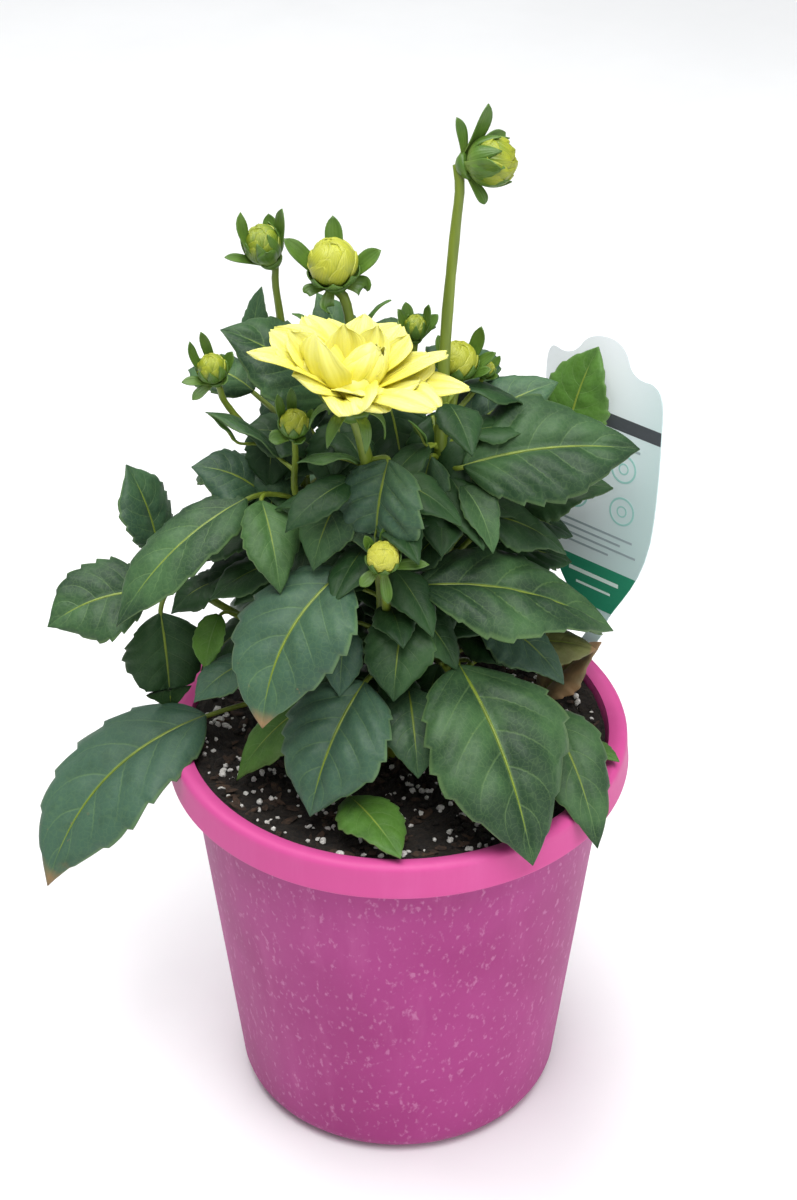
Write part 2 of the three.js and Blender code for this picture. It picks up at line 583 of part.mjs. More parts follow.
// A petal: narrow at its foot, channelled, and broad past its middle.
function petal({ tip, width, bow, fold, lift, faces, broad = false }, index) {
  const up = new THREE.Vector3(0, 0, 1);
  const end = vector(tip);
  const out = faces === undefined ? new THREE.Vector3(end.x, end.y, 0).normalize() : level(faces);
  const side = new THREE.Vector3().crossVectors(out, up);
  const start = out.clone().multiplyScalar(petalFoot).addScaledVector(up, lift + gap);
  const arch = new THREE.Vector3().crossVectors(side, end.clone().sub(start).normalize());
  const bend = start.clone().add(end).multiplyScalar(0.5).addScaledVector(arch, 2 * bow);
  const curve = new THREE.QuadraticBezierCurve3(start, bend, end);
  const roll = petalRoll * Math.sin(1.9 * 5.3 * index + 1);
  const shape = [0.26, 1, broad ? 0.82 : 0.7, broad ? 0.6 : 0];
  const shares = [0, 0.6, 0.88, 1];
  return blade(shape.map((reach, i) => {
    const above = new THREE.Vector3().crossVectors(side, curve.getTangent(shares[i])).normalize();
    const right = side.clone().multiplyScalar(Math.cos(roll)).addScaledVector(above, -Math.sin(roll));
    const face = above.clone().multiplyScalar(Math.cos(roll)).addScaledVector(side, Math.sin(roll));
    const half = 0.5 * width * reach;
    const points = (reach > 0 ? [-1, 0, 1] : [0]).map((v) => curve.getPoint(shares[i])
      .addScaledVector(right, half * v).addScaledVector(face, fold * half * v * v));
    return { points, face, thickness: petalThickness };
  }));
}

function bloom() {
  const profile = [[0, gap], [coreRadius, gap], [coreRadius, 5], [coreRadius * 0.7, 9], [0, 11]];
  const middle = tube(new THREE.LineCurve3(new THREE.Vector3(0, 0, 4), vector(heart.at).sub(new THREE.Vector3(0, 0, 4))),
    1, [5.5, 2.2], 6);
  const corolla = joined([middle, ...[...petals, ...heartPetals()].map(petal)]).translate(bloomSeat);
  const parts = seated(turned(profile, 8)).add(corolla).decompose();
  // A pocket closed in between petals would be a part with a negative volume: it is left out, so filled.
  return joined(parts.filter((part) => part.volume() > 0));
}

// The pot's outside radius at a height, without its band.
function wallRadius(height) {
  const topRadius = rimRadius - 7.4;
  return THREE.MathUtils.mapLinear(height, baseCorner, potHeight, baseRadius, topRadius);
}

function turned(profile, segments) {
  const geometry = new THREE.LatheGeometry(profile.map(([r, z]) => new THREE.Vector2(r, z)), segments);
  geometry.rotateX(Math.PI / 2);
  return solid(geometry);
}

// The pot: a tapered wall, a flat base with a rounded corner, and a rim folded over into a band.
function pot() {
  const bandFoot = potHeight - bandHeight;
  const foot = baseRadius - baseCorner;
  const profile = [[0, 0]];
  for (let i = 0; i <= 2; i += 1) {
    const angle = (i / 2) * Math.PI / 2 - Math.PI / 2;
    profile.push([foot + baseCorner * Math.cos(angle), baseCorner + baseCorner * Math.sin(angle)]);
  }
  profile.push(
    [wallRadius(bandFoot), bandFoot],
    [wallRadius(bandFoot) + 2.4, bandFoot],
    [wallRadius(bandFoot) + 2.6, potHeight - 6],
    [rimRadius - bandThickness - 0.6, potHeight - 6],
    [rimRadius - bandThickness, bandFoot],
    [rimRadius, bandFoot],
    [rimRadius - 1.3, potHeight - 3],
    [rimRadius - 3.2, potHeight],
    [rimRadius - 6, potHeight],
    [wallRadius(potHeight) - wall, potHeight - 1.6],
    [wallRadius(baseCorner) - wall, baseCorner],
    [foot, wall + 0.4],
    [0, wall + 0.4],
  );
  const slots = [];
  for (let i = 0; i < drainSlot.count; i += 1) {
    const length = drainSlot.outer - drainSlot.inner;
    const slot = new THREE.BoxGeometry(length, drainSlot.width, 10);
    slot.translate(drainSlot.inner + length / 2, 0, 0);
    slot.rotateZ((2 * Math.PI * i) / drainSlot.count);
    slots.push(solid(slot));
  }
  return turned(profile, 36).subtract(joined(slots));
}

// Lumps in the surface of the potting mix.
function lump(x, y) {
  const broad = 1.1 * Math.sin(0.06 * x + 1) * Math.cos(0.07 * y - 0.5);
  const small = 0.8 * Math.sin(0.23 * x + 0.4) * Math.sin(0.27 * y + 1.1);
  return broad + small;
}

// The potting mix: it fills the pot, its surface is lumpy, and it has a plain hole for each stem.
function pottingMix() {
  const sides = 30;
  const inside = (height) => wallRadius(height) - wall - gap;
  const floor = wall + 0.4 + gap;
  const ring = (radius, height) => Array.from({ length: sides }, (_, j) => {
    const angle = (2 * Math.PI * j) / sides;
    return new THREE.Vector3(radius * Math.cos(angle), radius * Math.sin(angle), height);
  });
  const surface = [1, 0.84, 0.66, 0.46, 0.24].map((share) => (
    ring(inside(soilLevel - 3) * share, soilLevel).map((p) => p.setZ(soilLevel + lump(p.x, p.y)))
  ));
  const rings = [ring(baseRadius - baseCorner - 1, floor), ring(inside(baseCorner) - 0.5, baseCorner + 2), ...surface];
  const holes = Object.values(leafyStems).map(({ stalks }) => {
    const [x, y] = stalks.main.points[0];
    const holeRadius = (stalks.main.radii[0] + gap) / Math.cos(Math.PI / 8);
    const hole = new THREE.CylinderGeometry(holeRadius, holeRadius, 60, 8);
    hole.rotateX(Math.PI / 2);
    hole.translate(x, y, soilLevel - stemDepth - gap + 30);
    return solid(hole);
  });
  const slot = new THREE.BoxGeometry(2 * (tag.spikeHalf + gap), tag.thickness + 2 * gap, 80);
  slot.translate(0, 0, 39 - tag.spike / Math.cos(radians(tag.turn + tag.spikeSlant)));
  slot.rotateY(radians(-tag.spikeSlant));
  placeTag(slot);
  return solid(loft(rings)).subtract(joined([...holes, solid(slot)]));
}

// Puts a geometry drawn in the tag's own plane (X across it, Z up it) where the tag stands.
function placeTag(geometry) {
  geometry.rotateX(radians(-tag.lean));
  geometry.rotateZ(radians(-tag.azimuth));
  geometry.translate(tag.neck[0], tag.neck[1], tag.neck[2] + soilLevel);
}

// The plant tag: a broad head with a raised middle lobe, turned on a neck above an upright spike.
function plantTag() {
  const { halfWidth: w, height: h, spike, spikeHalf } = tag;
  const slide = spike * Math.tan(radians(tag.turn + tag.spikeSlant));
  const shoulder = (slide * (spike - 14)) / spike;
  const bend = (slide * 8) / spike;
  const outline = new THREE.Shape();
  outline.moveTo(slide, -spike);
  outline.lineTo(spikeHalf + shoulder, 14 - spike);
  outline.quadraticCurveTo(4 + bend, -8, 4, 0);
  outline.bezierCurveTo(6, 14, 22, 22, 0.9 * w, 0.36 * h);
  outline.quadraticCurveTo(w, 0.5 * h, w, 0.78 * h);
  outline.quadraticCurveTo(w, 0.87 * h, 0.78 * w, 0.88 * h);
  outline.quadraticCurveTo(0.46 * w, 0.88 * h, 0.4 * w, 0.94 * h);
  outline.quadraticCurveTo(0.3 * w, h, 0, h);
  outline.quadraticCurveTo(-0.3 * w, h, -0.42 * w, 0.955 * h);
  outline.quadraticCurveTo(-0.6 * w, 0.91 * h, -0.82 * w, 0.935 * h);
  outline.quadraticCurveTo(-w, 0.95 * h, -w, 0.85 * h);
  outline.lineTo(-w, 0.5 * h);
  outline.quadraticCurveTo(-w, 0.42 * h, -0.9 * w, 0.36 * h);
  outline.bezierCurveTo(-22, 22, -6, 14, -4, 0);
  outline.quadraticCurveTo(bend - 4, -8, shoulder - spikeHalf, 14 - spike);
  outline.closePath();
  const plate = new THREE.ExtrudeGeometry(outline, { depth: tag.thickness, bevelEnabled: false, curveSegments: 4 });
  plate.translate(0, 0, -tag.thickness / 2);
  plate.rotateX(Math.PI / 2);
  plate.rotateY(radians(tag.turn));
  placeTag(plate);
  return solid(plate);
}

function backLeaves() {
  const leaves = [];
  const polar = (azimuth, [radius, height]) => [
    radius * Math.cos(radians(azimuth)),
    radius * Math.sin(radians(azimuth)),
    height,
  ];
  for (const tier of backTiers) {
    for (let i = 0; i < tier.count; i += 1) {
      const azimuth = THREE.MathUtils.lerp(tier.from, tier.to, i / (tier.count - 1));
      const step = tierStep * (i % 2);
      leaves.push({
        on: 'main',
        neck: polar(azimuth, [tier.neck[0], tier.neck[1] + step]),
        tip: polar(azimuth, [tier.tip[0] - step, tier.tip[1] + step]),
        width: tier.width - 4 * (i % 2),
        bow: 8,
        roll: i % 2 === 0 ? 8 : -8,
      });
    }
  }
  return leaves;
}

leafyStems.leafy_stem_back.leaves.push(...backLeaves());

const plant = new THREE.Group();
plant.position.z = soilLevel;
let budCount = 0;
for (const [name, stem] of Object.entries(leafyStems)) {
  plant.add(named(name, geometryOf(leafyStem(stem)), materials.leaf));
  for (const bud of stem.buds) {
    budCount += 1;
    plant.add(named(`bud_${budCount}`, geometryOf(budBall(bud)), materials.bud));
  }
}
plant.add(named('bloom', geometryOf(bloom()), materials.petal));

const pottedDahlia = new THREE.Group();
pottedDahlia.add(
  named('pot', geometryOf(pot()), materials.pot),
  named('potting_mix', geometryOf(pottingMix()), materials.mix),
  plant,
  named('plant_tag', geometryOf(plantTag()), materials.tag),
);

export default pottedDahlia;
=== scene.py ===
import math
import random

import bpy
import numpy as np
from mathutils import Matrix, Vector


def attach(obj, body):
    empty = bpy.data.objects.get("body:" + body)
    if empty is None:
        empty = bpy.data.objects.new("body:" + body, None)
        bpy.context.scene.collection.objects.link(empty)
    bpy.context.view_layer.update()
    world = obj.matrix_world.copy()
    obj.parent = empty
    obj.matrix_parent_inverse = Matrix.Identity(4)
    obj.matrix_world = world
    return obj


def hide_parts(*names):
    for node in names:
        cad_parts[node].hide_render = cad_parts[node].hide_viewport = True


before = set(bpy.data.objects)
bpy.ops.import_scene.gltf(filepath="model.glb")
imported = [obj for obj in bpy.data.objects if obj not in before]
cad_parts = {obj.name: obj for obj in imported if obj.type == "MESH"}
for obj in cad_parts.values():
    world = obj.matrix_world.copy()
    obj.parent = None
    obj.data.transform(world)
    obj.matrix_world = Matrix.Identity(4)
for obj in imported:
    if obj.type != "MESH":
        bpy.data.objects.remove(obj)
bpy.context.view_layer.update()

# Lengths are in millimetres until a mesh is made. The pot is laid out from the middle of its base,
# and everything else from the middle of the mix's surface, as in the CAD source.
MM = 0.001
POT_HEIGHT = 190
RIM_RADIUS = 100
BASE_RADIUS = 73
WALL = 1.6
BAND_HEIGHT = 15.5
BAND_THICKNESS = 2.6
BASE_CORNER = 11
DRAIN_SLOT = {"width": 3.6, "inner": 48, "outer": 60, "count": 8}
FLOOR_THICKNESS = 2
SOIL_DROP = 8
SOIL_LEVEL = POT_HEIGHT - SOIL_DROP
GAP = 0.35
BLADE_THICKNESS = 0.5
TEETH = 7
TOOTH_DEPTH = 0.1
QUILT = 0.06
EDGE_WAVE = 1.6
NECK_HALF = 1.3
PETIOLE_SLOPE = 0.55
SHORT_PETIOLE = 0.3
LOWEST_FOOT = 5

BLOOM_SEAT = np.array([-18.0, -31.0, 183.0])
BLOOM_LEAN = math.radians(9)
PETAL_ROLL = math.radians(14)

TAG = {
    "neck": (85, 29, 33),
    "azimuth": 40,
    "lean": 11,
    "turn": -8,
    "half_width": 30,
    "height": 134,
    "thickness": 0.8,
    "spike": 62,
    "spike_half": 5,
    "spike_slant": -24,
}

# The tag's printing: bands between two heights, the middles of its rings, and its bars, each with its
# left end, height, length and thickness. The bars on the green band are white.
INK_SLOPE = 0.14
INK_THICKNESS = 0.06
INK_LIFT = 0.05
DARK_BAND = (96, 102)
GREEN_BAND = (13, 33)
RINGS = [(-12, 80), (12, 80), (-12, 61), (12, 61)]
BARS = [(-22, 89, 18, 1.1), (4, 89, 16, 1.1), (-21, 72, 16, 0.8)]
BARS += [(-22, 48 - 3.1 * k, length, 1) for k, length in enumerate((40, 34, 42, 28))]
BARS += [(-14, 26, 26, 1.8), (-10, 21, 18, 1.1)]

UP = np.array([0.0, 0.0, 1.0])
ORIGIN = np.zeros(3)


def unit(vector):
    return vector / np.linalg.norm(vector, axis=-1, keepdims=True)


def facing(along, roll):
    """The directions to the right of a curve and square to its face, level across but for a roll."""
    level = unit(np.cross(along, UP))
    above = np.cross(level, along)
    right = level * math.cos(roll) - above * math.sin(roll)
    face = above * math.cos(roll) + level * math.sin(roll)
    return right, face


def square_to(axis):
    """Two directions square to an axis and to each other."""
    hint = np.array([1.0, 0.0, 0.0]) if abs(axis[2]) > 0.9 else UP
    first = unit(np.cross(hint, axis))
    return first, np.cross(axis, first)


def round_axis(centre, axis, along, out, angle):
    """The point at a place along an axis, a distance out from it and an angle round it."""
    first, second = square_to(axis)
    return centre + along * axis + out * (math.cos(angle) * first + math.sin(angle) * second)


def level_out(angle):
    """The level direction at an angle from +X."""
    return np.array([math.cos(angle), math.sin(angle), 0])


def quadratic(start, bend, end, share):
    keep = 1 - share
    return keep * keep * start + 2 * keep * share * bend + share * share * end


def turned(centre, axis, profile, sides):
    """Rings round an axis, from places along it and distances out from it."""
    angles = 2 * np.pi * np.arange(sides) / sides
    return np.array([[round_axis(centre, axis, along, out, angle) for angle in angles]
                     for along, out in profile])


def quadratic_tangent(start, bend, end, share):
    return unit((1 - share) * (bend - start) + share * (end - bend))


def cubic(a, b, c, d, share):
    keep = 1 - share
    return keep ** 3 * a + 3 * keep * keep * share * b + 3 * keep * share * share * c + share ** 3 * d


SPLINE_STEPS = 24


def spline(points, steps):
    """Points along a centripetal Catmull-Rom curve through the given points, evenly spaced."""
    points = [np.array(point, dtype=float) for point in points]
    ends = [2 * points[0] - points[1]] + points + [2 * points[-1] - points[-2]]
    fine = []
    for i in range(len(points) - 1):
        p0, p1, p2, p3 = ends[i:i + 4]
        d0, d1, d2 = (max(1e-4, np.linalg.norm(gap)) ** 0.5 for gap in (p1 - p0, p2 - p1, p3 - p2))
        t1 = d1 * ((p1 - p0) / d0 - (p2 - p0) / (d0 + d1) + (p2 - p1) / d1)
        t2 = d1 * ((p2 - p1) / d1 - (p3 - p1) / (d1 + d2) + (p3 - p2) / d2)
        bend = 3 * (p2 - p1) - 2 * t1 - t2
        twist = 2 * (p1 - p2) + t1 + t2
        for t in np.linspace(0, 1, SPLINE_STEPS, endpoint=False):
            fine.append(p1 + t1 * t + bend * (t * t) + twist * t ** 3)
    fine.append(points[-1])
    fine = np.array(fine)
    reach = np.concatenate([[0], np.cumsum(np.linalg.norm(np.diff(fine, axis=0), axis=1))])
    wanted = np.linspace(0, reach[-1], steps + 1)
    return np.stack([np.interp(wanted, reach, fine[:, k]) for k in range(3)], axis=1)


class Builder:
    """Collects closed forms into one mesh, each with its own material slot, blade map and tone."""

    def __init__(self):
        self.points = []
        self.faces = []
        self.slots = []
        self.maps = []
        self.tones = []
        self.dry_and_shade = []

    def add(self, points, faces, slots, maps=None, tone=0.0, dry_and_shade=0.0):
        start = len(self.points)
        self.points.extend(points)
        self.faces.extend([tuple(start + k for k in face) for face in faces])
        self.slots.extend(slots if isinstance(slots, list) else [slots] * len(faces))
        self.maps.extend(maps if maps is not None else [(0.0, 0.0)] * len(points))
        self.tones.extend([tone] * len(points))
        self.dry_and_shade.extend([dry_and_shade] * len(points))

    def sheet(self, rows, normals, thickness, top_slot, under_slot, tone=0.0, dry_and_shade=0.0):
        """A thin closed blade from a grid of points on its face: along it, then across to its right."""
        n, m = rows.shape[:2]
        under = rows - thickness * normals
        points = list(rows.reshape(-1, 3)) + list(under.reshape(-1, 3))
        u = np.linspace(0, 1, n)
        v = np.linspace(-1, 1, m)
        maps = [(a, b) for a in u for b in v] * 2
        low = n * m
        faces = []
        slots = []
        for i in range(n - 1):
            for j in range(m - 1):
                a, b, c, d = i * m + j, i * m + j + 1, (i + 1) * m + j + 1, (i + 1) * m + j
                faces.append((a, b, c, d))
                slots.append(top_slot)
                faces.append((low + d, low + c, low + b, low + a))
                slots.append(under_slot)
        for i in range(n - 1):
            a, d = i * m, (i + 1) * m
            faces.append((a, d, low + d, low + a))
            b, c = a + m - 1, d + m - 1
            faces.append((c, b, low + b, low + c))
        for j in range(m - 1):
            faces.append((j + 1, j, low + j, low + j + 1))
            a = (n - 1) * m + j
            faces.append((a, a + 1, low + a + 1, low + a))
        slots.extend([top_slot] * (len(faces) - len(slots)))
        self.add(points, faces, slots, maps, tone, dry_and_shade)

    def rings(self, rings, slot, tone=0.0):
        """A closed form from rings of points, with flat ends."""
        n, m = rings.shape[:2]
        points = list(rings.reshape(-1, 3))
        maps = [(i / (n - 1), 0.0) for i in range(n) for _ in range(m)]
        faces = []
        for i in range(n - 1):
            for j in range(m):
                k = (j + 1) % m
                faces.append((i * m + j, i * m + k, (i + 1) * m + k, (i + 1) * m + j))
        faces.append(tuple(range(m - 1, -1, -1)))
        faces.append(tuple(range((n - 1) * m, n * m)))
        self.add(points, faces, slot, maps, tone)

    def tube(self, path, radii, slot, sides=10, tone=0.0):
        """A round tube along a path, its radius given at each point of it."""
        tangents = np.gradient(path, axis=0)
        first, _ = square_to(unit(tangents[0]))
        rings = []
        turn = 2 * np.pi * np.arange(sides) / sides
        for centre, tangent, radius in zip(path, tangents, radii):
            along = unit(tangent)
            first = unit(first - along * first.dot(along))
            second = np.cross(along, first)
            rings.append(centre + radius * (np.outer(np.cos(turn), first) + np.outer(np.sin(turn), second)))
        self.rings(np.array(rings), slot, tone)

    def build(self, name, materials, raised=0.0, flat=False):
        """The finished mesh object, in metres, raised by a height in millimetres."""
        points = (np.array(self.points) + [0, 0, raised]) * MM
        mesh = bpy.data.meshes.new(name)
        mesh.from_pydata(points.tolist(), [], self.faces)
        for made in materials:
            mesh.materials.append(made)
        mesh.polygons.foreach_set("material_index", self.slots)
        mesh.polygons.foreach_set("use_smooth", [not flat] * len(mesh.polygons))
        corner = np.empty(len(mesh.loops), dtype=int)
        mesh.loops.foreach_get("vertex_index", corner)
        blade = mesh.uv_layers.new(name="blade")
        blade.data.foreach_set("uv", np.array(self.maps)[corner].ravel())
        for label, values in (("tone", self.tones), ("dry_and_shade", self.dry_and_shade)):
            layer = mesh.attributes.new(label, "FLOAT", "POINT")
            layer.data.foreach_set("value", values)
        mesh.validate()
        mesh.update()
        piece = bpy.data.objects.new(name, mesh)
        bpy.context.scene.collection.objects.link(piece)
        return piece


# Materials

def linear(red, green, blue):
    """A colour given as it is seen, 0 to 255, as the shader wants it."""
    def one(level):
        level /= 255
        return level / 12.92 if level <= 0.04045 else ((level + 0.055) / 1.055) ** 2.4
    return one(red), one(green), one(blue), 1.0


def plug(tree, target, value):
    """Sets an input to a constant, or links it to a field."""
    if isinstance(value, Field):
        tree.links.new(value.socket, target)
    else:
        target.default_value = value


class Field:
    """A value or colour that a material's nodes work out all over a surface."""

    def __init__(self, tree, socket):
        self.tree = tree
        self.socket = socket

    def maths(self, operation, other=0.0):
        made = self.tree.nodes.new("ShaderNodeMath")
        made.operation = operation
        plug(self.tree, made.inputs[0], self)
        plug(self.tree, made.inputs[1], other)
        return Field(self.tree, made.outputs[0])

    def __add__(self, other):
        return self.maths("ADD", other)

    def __sub__(self, other):
        return self.maths("SUBTRACT", other)

    def __mul__(self, other):
        return self.maths("MULTIPLY", other)

    def most(self, other):
        return self.maths("MAXIMUM", other)

    def zigzag(self):
        """Up from 0 to 0.5 and back again, once for each 1 that the value gains."""
        return self.maths("PINGPONG", 0.5)

    def step(self, low, high, bottom=0.0, top=1.0):
        """Smoothly from bottom to top as the value goes from low to high."""
        made = self.tree.nodes.new("ShaderNodeMapRange")
        made.interpolation_type = "SMOOTHSTEP"
        labels = ("Value", "From Min", "From Max", "To Min", "To Max")
        for label, item in zip(labels, (self, low, high, bottom, top)):
            plug(self.tree, made.inputs[label], item)
        return Field(self.tree, made.outputs["Result"])

    def between(self, first, second):
        """A colour from the first, where the value is 0, to the second, where it is 1."""
        made = self.tree.nodes.new("ShaderNodeMix")
        made.data_type = "RGBA"
        for target, item in ((0, self), (6, first), (7, second)):
            plug(self.tree, made.inputs[target], item)
        return Field(self.tree, made.outputs[2])


class Paint:
    """A material in the making, and the fields that its look is worked out from."""

    def __init__(self, name, roughness):
        self.made = bpy.data.materials.new(name)
        self.made.use_nodes = True
        self.tree = self.made.node_tree
        self.shader = self.tree.nodes["Principled BSDF"]
        self.set("Roughness", roughness)

    def set(self, label, value):
        plug(self.tree, self.shader.inputs[label], value)

    def place(self, stretch=(1, 1, 1)):
        """Where a point is on its object, in metres, times the stretch."""
        source = self.tree.nodes.new("ShaderNodeTexCoord")
        mapping = self.tree.nodes.new("ShaderNodeMapping")
        mapping.inputs["Scale"].default_value = stretch
        self.tree.links.new(source.outputs["Object"], mapping.inputs["Vector"])
        return mapping.outputs[0]

    def noise(self, scale, detail=3.0, stretch=(1, 1, 1), rough=0.5):
        made = self.tree.nodes.new("ShaderNodeTexNoise")
        for label, value in (("Scale", scale), ("Detail", detail), ("Roughness", rough)):
            made.inputs[label].default_value = value
        self.tree.links.new(self.place(stretch), made.inputs["Vector"])
        return Field(self.tree, made.outputs["Fac"])

    def net(self, scale):
        """How far a point is from the nearest line of an uneven net."""
        made = self.tree.nodes.new("ShaderNodeTexVoronoi")
        made.feature = "DISTANCE_TO_EDGE"
        made.inputs["Scale"].default_value = scale
        self.tree.links.new(self.place(), made.inputs["Vector"])
        return Field(self.tree, made.outputs["Distance"])

    def parts(self, vector):
        split = self.tree.nodes.new("ShaderNodeSeparateXYZ")
        self.tree.links.new(vector, split.inputs[0])
        return [Field(self.tree, part) for part in split.outputs]

    def blade_map(self):
        """The share along a blade, from 0 to 1, and across it, from -1 to 1."""
        source = self.tree.nodes.new("ShaderNodeUVMap")
        source.uv_map = "blade"
        return self.parts(source.outputs[0])[:2]

    def attribute(self, label):
        made = self.tree.nodes.new("ShaderNodeAttribute")
        made.attribute_name = label
        return Field(self.tree, made.outputs["Fac"])

    def finish(self, colour, height, strength, distance):
        """The material, with its colour and its fine relief, whose depth is in metres."""
        self.set("Base Color", colour)
        made = self.tree.nodes.new("ShaderNodeBump")
        made.inputs["Strength"].default_value = strength
        made.inputs["Distance"].default_value = distance
        plug(self.tree, made.inputs["Height"], height)
        self.tree.links.new(made.outputs["Normal"], self.shader.inputs["Normal"])
        return self.made


VEINS = 5.5
VEIN_SLANT = 0.2
VEIN_CURVE = 0.14
VEIN_STAGGER = 0.4
LEAF_NET = 420
# The dark green of painted shade, mixed into leaves whose dryness is below 0.
PAINTED_SHADE_GREEN = linear(16, 52, 12)
WITHERED = linear(142, 112, 78)


def leaf_material(name, deep, light, fresh, painted_sheen, vein, roughness):
    """A leaf's face: veins, a fine net between them, a painted highlight along its edge, and, set leaf by
    leaf, a fresh green, a painted blue-grey sheen, browning and painted shade.
    """
    paint = Paint(name, roughness)
    along, across = paint.blade_map()
    away = across.maths("ABSOLUTE")
    stagger = across.maths("GREATER_THAN") * VEIN_STAGGER
    phase = (along - away * (away * VEIN_CURVE + VEIN_SLANT)) * VEINS + stagger
    lateral = phase.zigzag().step(0, 0.05, 1, 0) * away.step(0.35, 0.95, 0.55, 0)
    midrib = away.step(0.01, 0.042, 1, 0) * along.step(0.3, 1, 1, 0.45)
    # A pale line along the edge: a painted highlight, in the vein colour.
    edge = away.step(0.93, 0.99, 0, 0.55)
    net = paint.net(LEAF_NET)
    broad = paint.noise(38, 4)
    patch = paint.noise(130)
    tone = paint.attribute("tone")
    dry_and_shade = paint.attribute("dry_and_shade")
    colour = broad.step(0.35, 0.68).between(deep, light)
    colour = tone.most(0).between(colour, fresh)
    # Below 0, the tone mixes in a bluish green that is a painted blue-grey sheen.
    colour = (tone * -1).most(0).between(colour, painted_sheen)
    colour = patch.step(0.45, 0.75, 0, 0.3).between(colour, deep)
    colour = (net.step(0, 0.09, 1, 0) * 0.12).between(colour, vein)
    colour = (lateral * 0.5).between(colour, vein)
    colour = (midrib.most(edge) * 0.65).between(colour, vein)
    # Below 0, the dryness darkens the leaf with painted shade.
    colour = (dry_and_shade * -1).most(0).between(colour, PAINTED_SHADE_GREEN)
    tip = (along + patch * 0.14).step(0.965, 1.05)
    spots = paint.noise(260, 2).step(0.7, 0.76) * along.step(0.55, 0.95)
    browned = dry_and_shade.maths("MINIMUM", 1).most(0) * tip.most(spots)
    browned = browned.most((dry_and_shade - 1) * broad.step(0.2, 0.6))
    colour = browned.between(colour, WITHERED)
    paint.set("Roughness", patch * 0.24 + (roughness - 0.12))
    paint.set("Specular IOR Level", 0.32)
    height = net * 0.5 - lateral.most(midrib) * 0.6 + paint.noise(500, 2) * 0.2
    return paint.finish(colour, height, 0.35, 0.0008)


def stem_material():
    """Stalks: yellow-green with darker streaks, and paler where their tone is higher."""
    paint = Paint("stem", 0.45)
    streaks = paint.noise(220, 3, (1, 1, 0.12))
    colour = streaks.step(0.3, 0.7).between(linear(82, 102, 16), linear(112, 130, 30))
    colour = paint.attribute("tone").most(0).between(colour, linear(142, 160, 60))
    return paint.finish(colour, streaks, 0.4, 0.0006)


def bract_material():
    """Cups and bracts: green, paler at the foot, with fine lines."""
    paint = Paint("bract", 0.45)
    along, across = paint.blade_map()
    lines = (across * 2.5).zigzag()
    patch = paint.noise(180)
    colour = patch.between(linear(50, 86, 26), linear(94, 126, 42))
    colour = along.step(0, 0.5, 0.5, 0).between(colour, linear(142, 166, 78))
    return paint.finish(colour, lines + patch, 0.35, 0.0005)


def petal_material():
    """Petals: lemon yellow, deeper yellow at the foot and painted brighter there as painted light against
    the shade between the petals, paler at the tip, with lengthwise grooves painted a darker yellow as
    painted shade, and lines.
    """
    paint = Paint("petal", 0.5)
    along, across = paint.blade_map()
    fine = (across * 7.5).zigzag()
    groove = (across * 1.5 + 0.5).zigzag()
    broad = paint.noise(90)
    colour = broad.step(0.3, 0.7).between(linear(212, 203, 74), linear(220, 214, 94))
    colour = (paint.attribute("tone") * 0.5).between(colour, linear(231, 227, 116))
    colour = along.step(0.5, 1).between(colour, linear(222, 220, 130))
    # At the foot a deeper yellow that is also painted brighter: painted light against the shade where the
    # petals meet.
    colour = along.step(0, 0.55, 0.9, 0).between(colour, linear(236, 222, 62))
    # The grooves are painted a darker yellow: painted shade in them.
    colour = groove.step(0, 0.22, 0.32, 0).between(colour, linear(206, 194, 28))
    colour = fine.step(0, 0.35, 0.16, 0).between(colour, linear(212, 200, 44))
    paint.set("Subsurface Weight", 0.55)
    paint.set("Subsurface Radius", (0.006, 0.006, 0.002))
    return paint.finish(colour, fine * 0.5 + broad * 0.4 + groove * 0.8, 0.4, 0.0008)


def bud_material():
    """Closed buds: green at the foot and yellow-green on the folds, with a painted highlight along each
    petal's edge and fine lines in a darker green of painted crease shade.
    """
    paint = Paint("bud", 0.45)
    along, across = paint.blade_map()
    patch = paint.noise(150)
    lines = (across * 5).zigzag()
    tone = paint.attribute("tone")
    yellow = tone.most(0).between(linear(160, 164, 34), linear(214, 208, 84))
    green = tone.most(0).between(linear(74, 104, 24), linear(156, 166, 44))
    colour = (along + tone * 0.3).step(0.4, 0.95).between(green, yellow)
    # A paler colour along each petal's edge: a painted highlight.
    colour = across.maths("ABSOLUTE").step(0.8, 1, 0, 0.3).between(colour, linear(226, 224, 130))
    # Fine lines in the darker green of painted shade in the creases.
    colour = lines.step(0, 0.3, 0.3, 0).between(colour, linear(120, 140, 30))
    colour = (patch * 0.3).between(colour, linear(130, 150, 40))
    paint.set("Subsurface Weight", 0.1)
    paint.set("Subsurface Radius", (0.002, 0.002, 0.001))
    return paint.finish(colour, lines + patch, 0.35, 0.0006)


